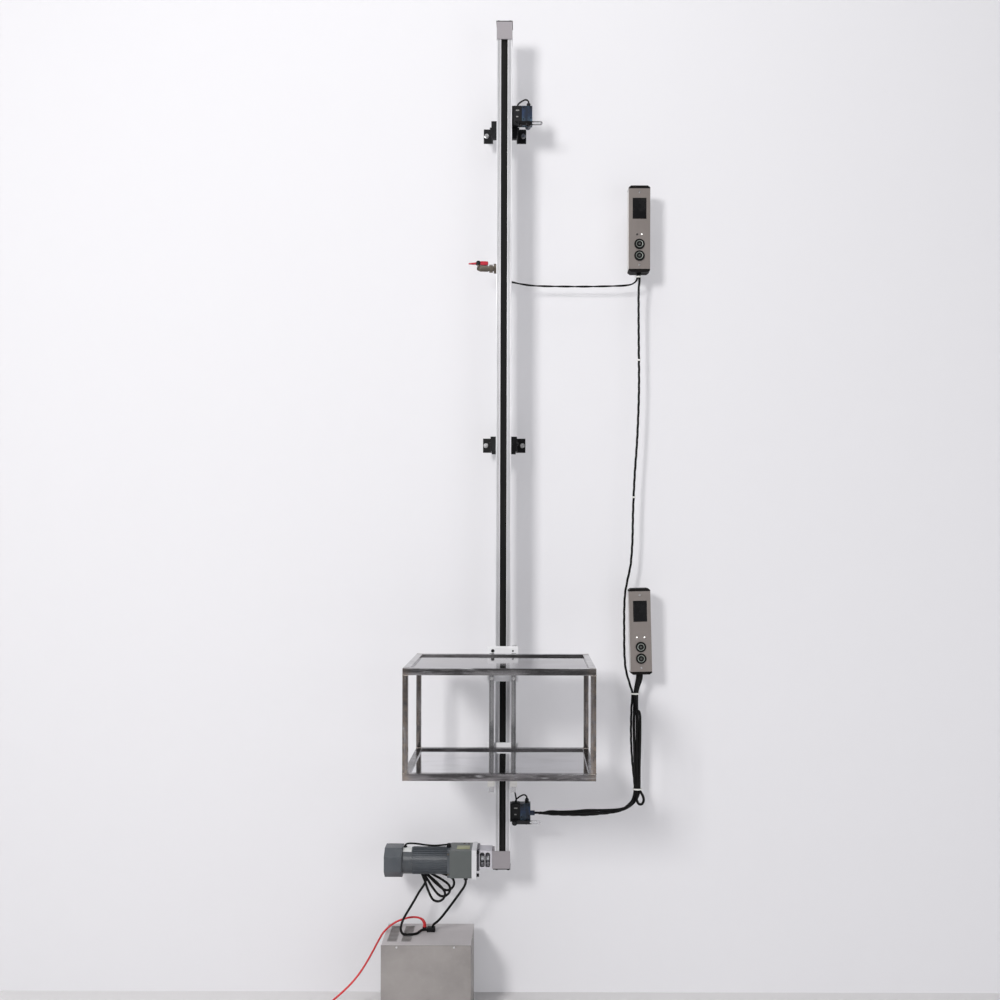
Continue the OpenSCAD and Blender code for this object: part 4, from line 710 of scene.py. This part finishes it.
PANELS = {"upper": (453, 2610, 0.0), "lower": (460, 1258, 1.5)}
LAMP_X = {"upper": 7.7, "lower": 12.6}
LAMP_Z, WINDOW_Z, WINDOW_HALF = -19.4, 67.9, 35.3
BUTTONS = (("up", -52, 1), ("down", -91, -1))
panel = metal("panel_brushed", (0.66, 0.64, 0.62), 0.36, (1, 1, 0.01), 900, 0.18)
panel.set("Metallic", 0.6)
face = metal("face_brushed", (0.27, 0.24, 0.225), 0.40, (1, 1, 0.008), 1100, 0.16, bump=0.0001)
face.set("Metallic", 0.6)
cap = paint("cap_black", (0.006, 0.005, 0.005), 0.55, dust=0.01, Specular_IOR_Level=0.08)
glass = paint("display_window", (0.004, 0.004, 0.005), 0.14, dust=0.02, peel=0.00001, Specular_IOR_Level=0.3)
board = paint("circuit_board", (0.02, 0.12, 0.05), 0.4)
ring_black = paint("ring_black", (0.006, 0.006, 0.006), 0.36, dust=0.01, Specular_IOR_Level=0.12)
ring_metal = metal("ring_metal", (0.34, 0.37, 0.34), 0.36, (1, 1, 1), 600, 0.12)
button_dark = paint("button_dark", (0.07, 0.076, 0.072), 0.34)
lamp_on = Finish("lamp_on", (0.95, 0.95, 0.92), 0.25)
lamp_on.set("Emission Color", (1.0, 0.98, 0.94, 1)).set("Emission Strength", 1.6)
lamp_on.bump(lamp_on.noise(2500, 2), 0.00002)
lamp_off = paint("lamp_off", (0.09, 0.085, 0.08), 0.2, peel=0.00001)

dress(["panel_housings"], panel, 1.2)
dress(["panel_end_caps"], cap, 0.8)
dress(["panel_faces"], face, 0.4)
dress(["panel_displays"], glass, 0.2)
dress(["panel_boards"], board)
dress(["cover_screws"], zinc, 0.4)
dress(["button_rings"], ring_black, 0.4)


def moved(part, matrix):
    """A part turned and moved by a matrix in millimetres: each point times the turn, plus the shift."""
    m = np.array(matrix, float)
    return np.array(part[0], float).reshape(-1, 3) @ m[:3, :3].T + m[:3, 3], part[1], part[2]


def banded(profile, origin, mats, sides=48):
    """A turned shape in bands of different finishes, each with its own copy of its two edge circles."""
    circles = rings(profile, origin, "y", sides)
    bands = [(circles[i:i + 2], quads(2, sides), m) for i, m in enumerate(mats)]
    return bands + [(circles[0], [list(range(sides))[::-1]], mats[0])]


for key, (x, h, lean) in PANELS.items():
    turn = Matrix.Translation((x, 0, h)) @ Matrix.Rotation(math.radians(-lean), 4, "Y")
    lamps = []
    for side, lit in ((-1, key == "lower"), (1, True)):
        at = (side * LAMP_X[key], 0, LAMP_Z)
        lamps.append(turned([(3.4, -45), (3.4, -45.7), (2.9, -46.1), (2.5, -46.1)], at, "y", 2, 24))
        lens = [(2.5, -45.6), (2.1, -46.6), (1.2, -47.1), (0, -47.2)]
        lamps.append(turned(lens, at, "y", 0 if lit else 1, 24))
    piece(f"{key}_lamps", [moved(p, turn) for p in lamps], "frame", [lamp_on, lamp_off, ring_black])
    collar = [(13.3, -33), (13.3, -46.6), (13.9, -47.6), (15.2, -48), (16.6, -47.7), (17.3, -46.8),
              (17.5, -45)]
    bezels = [turned(collar, (0, 0, z), "y", 0, 48) for name, z, way in BUTTONS]
    gasket = slab((-23.3, 23.3), (-45.25, -44.8), (WINDOW_Z - WINDOW_HALF, WINDOW_Z + WINDOW_HALF), 0.2, 1)
    piece(f"{key}_bezels", [moved(p, turn) for p in bezels + [gasket]], "frame", [ring_black, cap])
    for name, z, way in BUTTONS:
        crown = [(13, -37), (13, -48.6), (12.6, -49.2), (11.7, -49.4), (9.6, -49.1), (8.8, -48.6),
                 (6.4, -48.8), (5.8, -49.2), (3.6, -49.4), (0, -49.4)]
        mark = [(-2.6, -49.48, z - 1.4 * way), (2.6, -49.48, z - 1.4 * way), (0, -49.48, z + 2.6 * way)]
        arrow = (mark, [[0, 1, 2][::way]], 3)
        cap_parts = banded(crown, (0, 0, z), [1, 1, 1, 0, 1, 1, 1, 1, 2]) + [arrow]
        piece(f"{key}_{name}_cap", [moved(p, turn) for p in cap_parts], f"{key}_{name}",
              [ring_metal, ring_black, button_dark, lamp_off], (f"{key}_{name}_button",))


# ---------------------------------------------------------------- leads that the lift holds
# Thin sheathed leads join the panels, switches and motor, along the rail and down the wall. Some are two or
# three twisted strands, the spare length of one is folded up, and nylon ties hold them.

tie = paint("tie_nylon", (0.78, 0.78, 0.74), 0.45)

TRUNK = [(456.5, -22, 2465), (456.5, -22, 2456), (456, -19.5, 2444), (454.5, -12, 2410), (455, -6, 2350),
         (456, -6, 2220), (457, -6, 2080), (452, -6, 1920), (443, -6, 1780), (438, -6, 1660), (436, -6, 1560),
         (430, -6, 1480), (420, -6, 1430), (412, -6, 1385), (409, -6, 1330), (409, -6, 1250), (410, -6, 1180),
         (415, -6, 1125), (427, -6.4, 1080), (437, -7.6, 1045), (434.5, -6.5, 1000), (433, -6, 900),
         (437, -6, 820), (443, -6.4, 760), (446.2, -7.8, 722), (444, -8.4, 702), (434, -10, 678),
         (412, -13, 659), (375, -21, 646), (320, -33, 642), (280, -43, 642), (235, -54, 645), (190, -66, 649),
         (150, -77, 654), (130, -84, 658.5), (115, -86, 660), (106, -86, 660)]
PANEL_LEAD = [(452, -22, 1112.7), (452.2, -22, 1104.5), (450.6, -18.5, 1090), (447.5, -11, 1068),
              (445, -7.4, 1048), (444.6, -7, 1036), (443.5, -6, 1000), (443.8, -6, 900), (449, -6, 820),
              (452.5, -6.4, 760), (453.8, -7.2, 722), (451.5, -8.5, 702), (442, -11, 681), (424, -15, 664),
              (400, -19.5, 656), (367, -26, 654), (320, -34, 655), (280, -42, 657), (235, -53, 656),
              (190, -67, 658.5), (156, -77, 662), (136, -82, 659), (120, -85, 659)]
SPARE_LEAD = [(459.2, -25, 1112.9), (459.4, -25, 1104.5), (457, -22.5, 1088), (451, -18.5, 1066),
              (447, -16, 1048), (447, -15.4, 1036), (450.5, -14.6, 1000), (452, -14.5, 900),
              (453, -14.5, 820), (453.4, -14.8, 760), (452.5, -15.5, 722), (450.5, -16.4, 704),
              (452, -17.2, 685), (460, -18, 671.5), (469.5, -18.5, 672.5), (475, -19, 684),
              (473, -18.6, 698), (466.5, -17, 710), (460.6, -15.6, 722), (460.2, -14.8, 740),
              (461.5, -14.5, 820), (463, -14.8, 900), (462.8, -16.5, 950), (461.5, -20, 974),
              (457.5, -22.6, 986), (451, -22.8, 989), (444.5, -20.5, 983), (441.6, -17, 968),
              (441, -14.8, 940), (442, -14.4, 900), (444.6, -14.4, 820), (445.6, -14.8, 760),
              (445.4, -15.6, 722), (442.5, -16.6, 700), (433, -18.5, 677), (411, -21.5, 658),
              (380, -27, 648.5), (330, -37, 647), (280, -47, 650), (235, -58.4, 651.5),
              (190, -72.4, 653.5), (156, -82.5, 656.5), (138, -86, 659.5), (122, -86.5, 660.5)]
SHORT_LEAD = [(466.4, -22, 1113.1), (466.6, -22, 1104.9), (464.5, -18.5, 1090), (458, -11, 1068),
              (453.4, -8, 1048), (453, -7.4, 1036), (453.4, -6, 1000), (456, -6, 940), (459.5, -6, 880),
              (461.5, -6, 820), (462, -6.4, 760), (461.4, -7.8, 722), (458.5, -9.5, 702), (449, -11.8, 684),
              (434, -13, 668), (412, -15, 655), (385, -19.5, 648.5), (375, -21, 646)]
BRANCH = [(18, -53, 2429), (22, -47, 2429), (34, -38, 2429), (56, -24, 2428), (84, -12, 2427),
          (120, -6, 2426), (200, -5, 2425), (290, -5, 2425), (370, -5, 2427), (410, -5.5, 2429),
          (430, -8.5, 2432), (441, -14, 2437), (447, -19.3, 2444), (448.8, -22, 2451), (449, -22, 2457),
          (449, -22, 2465)]
RAIL_LEAD = [(38, -72, 2977), (38, -66.8, 2977), (35, -62.5, 2976.5), (29, -59, 2974), (21, -55, 2964),
             (18, -54, 2950), (18, -54, 2910), (18, -54, 2700), (18, -54, 2437), (18, -54, 2000),
             (18, -54, 1500), (18, -54, 1000), (18, -54, 800), (24, -56, 770), (34, -64, 745), (42, -76, 718),
             (45, -86, 700), (45, -86, 694)]
MOTOR_LEAD = [(-322, -85, 545), (-322, -85, 551.2), (-318.5, -85.3, 555.5), (-310, -86, 557.5),
              (-285, -88, 557.5), (-255, -90, 554), (-225, -90, 552), (-200, -88, 553), (-184, -86, 554),
              (-176, -85, 554)]
SWITCH_LOOP = [(80, -86, 12), (80, -86, 17.2), (77, -86, 23), (70, -86, 25.5), (61, -86, 22.5),
               (52, -86, 16.5), (45.5, -86, 11), (43, -86, 5.2), (43, -86, 0)]


def strands(route, r_out, r_each, turns_every, count=2, sides=8):
    """Twisted strands on one route: each circles it at the bundle's radius less its own, once a turn."""
    p = curve_points(route, 4)
    t, n, b = frames_along(p)
    s = np.concatenate([[0], np.cumsum(np.linalg.norm(np.diff(p, axis=0), axis=1))])
    out = []
    for k in range(count):
        a = 2 * np.pi * (s / turns_every + k / count)
        off = (r_out - r_each) * (np.cos(a)[:, None] * n + np.sin(a)[:, None] * b)
        out.append(sweep(p + off, r_each, sides))
    return out


dress(["cable_ties"], tie, 0.3)
loops = [sweep(curve_points([(x, y, h + z + 60) for x, y, z in SWITCH_LOOP], 2), 2.6, 12) for h in SWITCHES]
bundle = [sweep(curve_points(route, 3), 4.3, 12) for route in (PANEL_LEAD, SPARE_LEAD, SHORT_LEAD)]
piece("panel_trunk", strands(TRUNK, 4.2, 2.4, 110, 3) + [sweep(curve_points(RAIL_LEAD, 6), 2.5, 10)]
      + strands(BRANCH, 3.5, 2.3, 130) + [sweep(curve_points(MOTOR_LEAD, 3), 3, 12)] + loops + bundle,
      "frame", [sheath], ("held_leads",))


# ---------------------------------------------------------------- cabinet
# The control cabinet is folded sheet steel with a textured grey powder coat, pale with dust on top. Its
# louvres are pressed out of the top, a moulded hood covers the cable entries, and screws close its sides.

CABINET_H, LOUVRES, LOUVRE_PITCH = 259, 12, 11
coat = paint("cabinet_coat", (0.29, 0.27, 0.26), 0.48, dust=0.12, peel=0.00035, dust_color=(0.5, 0.48, 0.46))
upward = coat.node("ShaderNodeSeparateXYZ", 2, {0: coat.node("ShaderNodeNewGeometry", "Normal")})
dusty = upward.step(0.6, 0.95) * (0.45 + 0.35 * coat.noise(14, 5, 0.65))
bare = coat.shader.inputs["Base Color"].links[0].from_socket
coat.set("Base Color", coat.mix(dusty, bare, (0.66, 0.63, 0.64)))
unit = paint("unit_plastic", (0.05, 0.055, 0.06), 0.45)

dress(["cabinet_body"], coat, 0.5)
dress(["cabinet_cover"], coat)
dress(["drive_unit"], unit, 1.5)
dress(["cable_entries"], black_plastic, 1.0)

lips = []
u = np.linspace(0, np.pi, 9)
rise = np.minimum(1.0, np.minimum(np.arange(13), np.arange(13)[::-1]) / 1.6)[:, None] ** 0.5
for x0 in (-374, -328):
    for k in range(LOUVRES):
        y = -25 - LOUVRE_PITCH * k
        across = np.linspace(x0 - 0.5, x0 + 33.5, 13)[:, None]
        lip = np.broadcast_arrays(across, y + 0.6 - 1.7 * (1 - np.cos(u)),
                                  CABINET_H + 2.2 * rise * np.sin(u * 0.55))
        lips.append((np.stack(lip, -1), quads(13, 9, around=False), 0))
hood = slab((-251.6, -224.4), (-76.6, -55.4), (CABINET_H, CABINET_H + 14.4), 2.4, 1, 3)
lead = curve_points(MAINS_CORD, 1.5)[:24]
ridges = 0.35 * (np.arange(24) % 4 < 2)
strain_relief = sweep(lead, np.linspace(6.0, 3.6, 24) + ridges, 20, 4)
closing = [slab((-98.6, -98.2), (-183, -181.6), (1, CABINET_H - 1), 0.1, 2)]
for z in (12, CABINET_H - 12):
    right_screw = [(3.4, -98.6), (3.4, -97.4), (2.7, -96.9), (0, -96.9)]
    closing.append(turned(right_screw, (0, -92, z), "x", 3, 24))
    left_screw = [(0, -390.2), (2.7, -390.2), (3.4, -389.6), (3.4, -388.4)]
    closing.append(turned(left_screw, (0, -92, z), "x", 3, 24))
piece("cabinet_trim", lips + [hood, strain_relief] + closing, "frame",
      [coat, black_plastic, cap, zinc, red_sheath])


# ---------------------------------------------------------------- lever valve
# A small nickel-plated fitting stands out from the rail's left side. A red coated grip turns on a black hub
# above it, held down by a black nut.

LEVER_AT = (-85, -85, 2476)
LEVER = [(-32.4, 2.6, 1.4, 5.2), (-30, 2.75, 1.9, 5.6), (-20, 3.1, 2.4, 5.8), (-9, 3.5, 3.3, 5.9),
         (1, 3.6, 3.4, 5.9), (4.5, 3.9, 4.4, 5.9), (7, 4.2, 6.2, 5.9), (12, 4.25, 6.6, 5.9),
         (26, 4.25, 6.6, 5.9), (30, 4.3, 6.0, 5.6), (32, 4.5, 4.6, 4.8), (32.5, 4.6, 3.4, 3.8)]
red_gloss = paint("red_grip", (0.42, 0.010, 0.028), 0.28, peel=0.00008, Coat_Weight=0.4)

dress(["valve_body"], nickel, 0.5)
# the grip's cross-sections along it: a rounded rectangle, as wide and tall as LEVER says
dx, mid, tall, wide = np.array(LEVER).T[:, :, None]
t = np.linspace(0, 2 * np.pi, 24, endpoint=False)
q = 1 / np.maximum(abs(np.cos(t)), abs(np.sin(t))) ** 0.75
grip = np.broadcast_arrays(LEVER_AT[0] + dx, LEVER_AT[1] + wide * np.cos(t) * q,
                           LEVER_AT[2] + mid + tall * np.sin(t) * q)
grip = np.stack(grip, -1), quads(len(LEVER), 24) + ends(len(LEVER), 24), 0
over = (LEVER_AT[0], LEVER_AT[1], 0)
hub = turned([(8.6, 2475.2), (9.2, 2476), (9.2, 2482.8), (8.4, 2484), (6.6, 2484.4)], over, "z", 1, 36)
nut = turned([(6.6, 2483.2), (6.6, 2487.3), (5.8, 2488), (0, 2488)], over, "z", 1, 6)
piece("valve_grip", [grip, hub, nut], "valve_lever", [red_gloss, black_plastic],
      ("red_lever",), sharp=50)


# ---------------------------------------------------------------- stage and light
# The lift hangs before a white wall over a pale floor. The wall stands 60 mm behind the brackets' feet,
# clear of the bolts' ends, and lets a view from behind through. The main light is on the upper left.

def stage_plane(name, points, finish):
    """A flat four-cornered piece of the stage."""
    me = bpy.data.meshes.new(name)
    me.from_pydata(points, [], [[0, 1, 2, 3]])
    me.materials.append(finish.mat)
    ob = bpy.data.objects.new(name, me)
    bpy.context.scene.collection.objects.link(ob)


def glow(finish, color, share):
    """Shows part of a stage's colour straight to the camera and in reflections, without lighting the lift."""
    camera, glossy, clear = (finish.node("ShaderNodeLightPath", f"Is {ray} Ray")
                             for ray in ("Camera", "Glossy", "Transmission"))
    seen_by = finish.math("MAXIMUM", camera, finish.math("MAXIMUM", glossy, clear))
    shine = finish.node("ShaderNodeEmission", 0, {"Color": color})
    return finish.node("ShaderNodeMixShader", 0, {0: seen_by * share, 1: finish.shader.outputs[0], 2: shine})


wall = Finish("stage_wall", (0.75, 0.745, 0.765), 0.9)
lit = glow(wall, (0.82, 0.815, 0.85), 0.22)
behind = wall.node("ShaderNodeNewGeometry", "Backfacing")
wall.put(wall.surface, wall.node("ShaderNodeMixShader", 0,
                                 {0: behind, 1: lit, 2: wall.node("ShaderNodeBsdfTransparent")}))
floor = Finish("stage_floor", (0.70, 0.69, 0.69), 0.9)
WALL_Y, FLOOR_Z, REACH = 0.06, -ANCHOR / 1000, 6
low = FLOOR_Z - 0.0005
stage_plane("backdrop", [(-REACH, WALL_Y, FLOOR_Z), (REACH, WALL_Y, FLOOR_Z), (REACH, WALL_Y, 6),
                         (-REACH, WALL_Y, 6)], wall)
stage_plane("floor", [(-REACH, -7, low), (REACH, -7, low), (REACH, 7, low), (-REACH, 7, low)], floor)


def area(name, where, target, size, power, color=(1, 1, 1)):
    """A rectangular lamp turned towards its target."""
    data = bpy.data.lights.new(name, "AREA")
    data.shape = "RECTANGLE"
    data.size, data.size_y = size
    data.energy = power
    data.color = color
    ob = bpy.data.objects.new(name, data)
    ob.location = where
    ob.rotation_mode = "QUATERNION"
    ob.rotation_quaternion = (Vector(target) - Vector(where)).to_track_quat("-Z", "Y")
    bpy.context.scene.collection.objects.link(ob)


area("key", (-2.2, -4.6, 1.5), (0, 0, -0.3), (0.9, 1.1), 180, (1.0, 0.99, 0.985))
area("fill", (2.8, -3.8, -0.7), (0, 0, -0.6), (2.0, 2.5), 24, (0.96, 0.97, 1.0))
area("top", (0.0, -1.6, 3.2), (0, -0.2, 0), (2.5, 1.6), 24)

# the room: darker on the camera's side, and pale towards the wall
world = bpy.data.worlds.new("world")
bpy.context.scene.world = world
world.use_nodes = True
room = Tree(world.node_tree)
depth = room.node("ShaderNodeSeparateXYZ", 1, {0: room.node("ShaderNodeTexCoord", "Generated")})
pale = room.node("ShaderNodeMapRange", 0, {0: depth, 1: -0.9, 2: 0.3, 3: 0.0, 4: 1.0})
background = world.node_tree.nodes["Background"]
room.put(background.inputs[0], room.mix(pale, (0.34, 0.335, 0.34), (0.90, 0.91, 0.95)))
room.put(background.inputs[1], 0.8)

bpy.context.scene.view_settings.view_transform = "Standard"

bpy.context.view_layer.update()
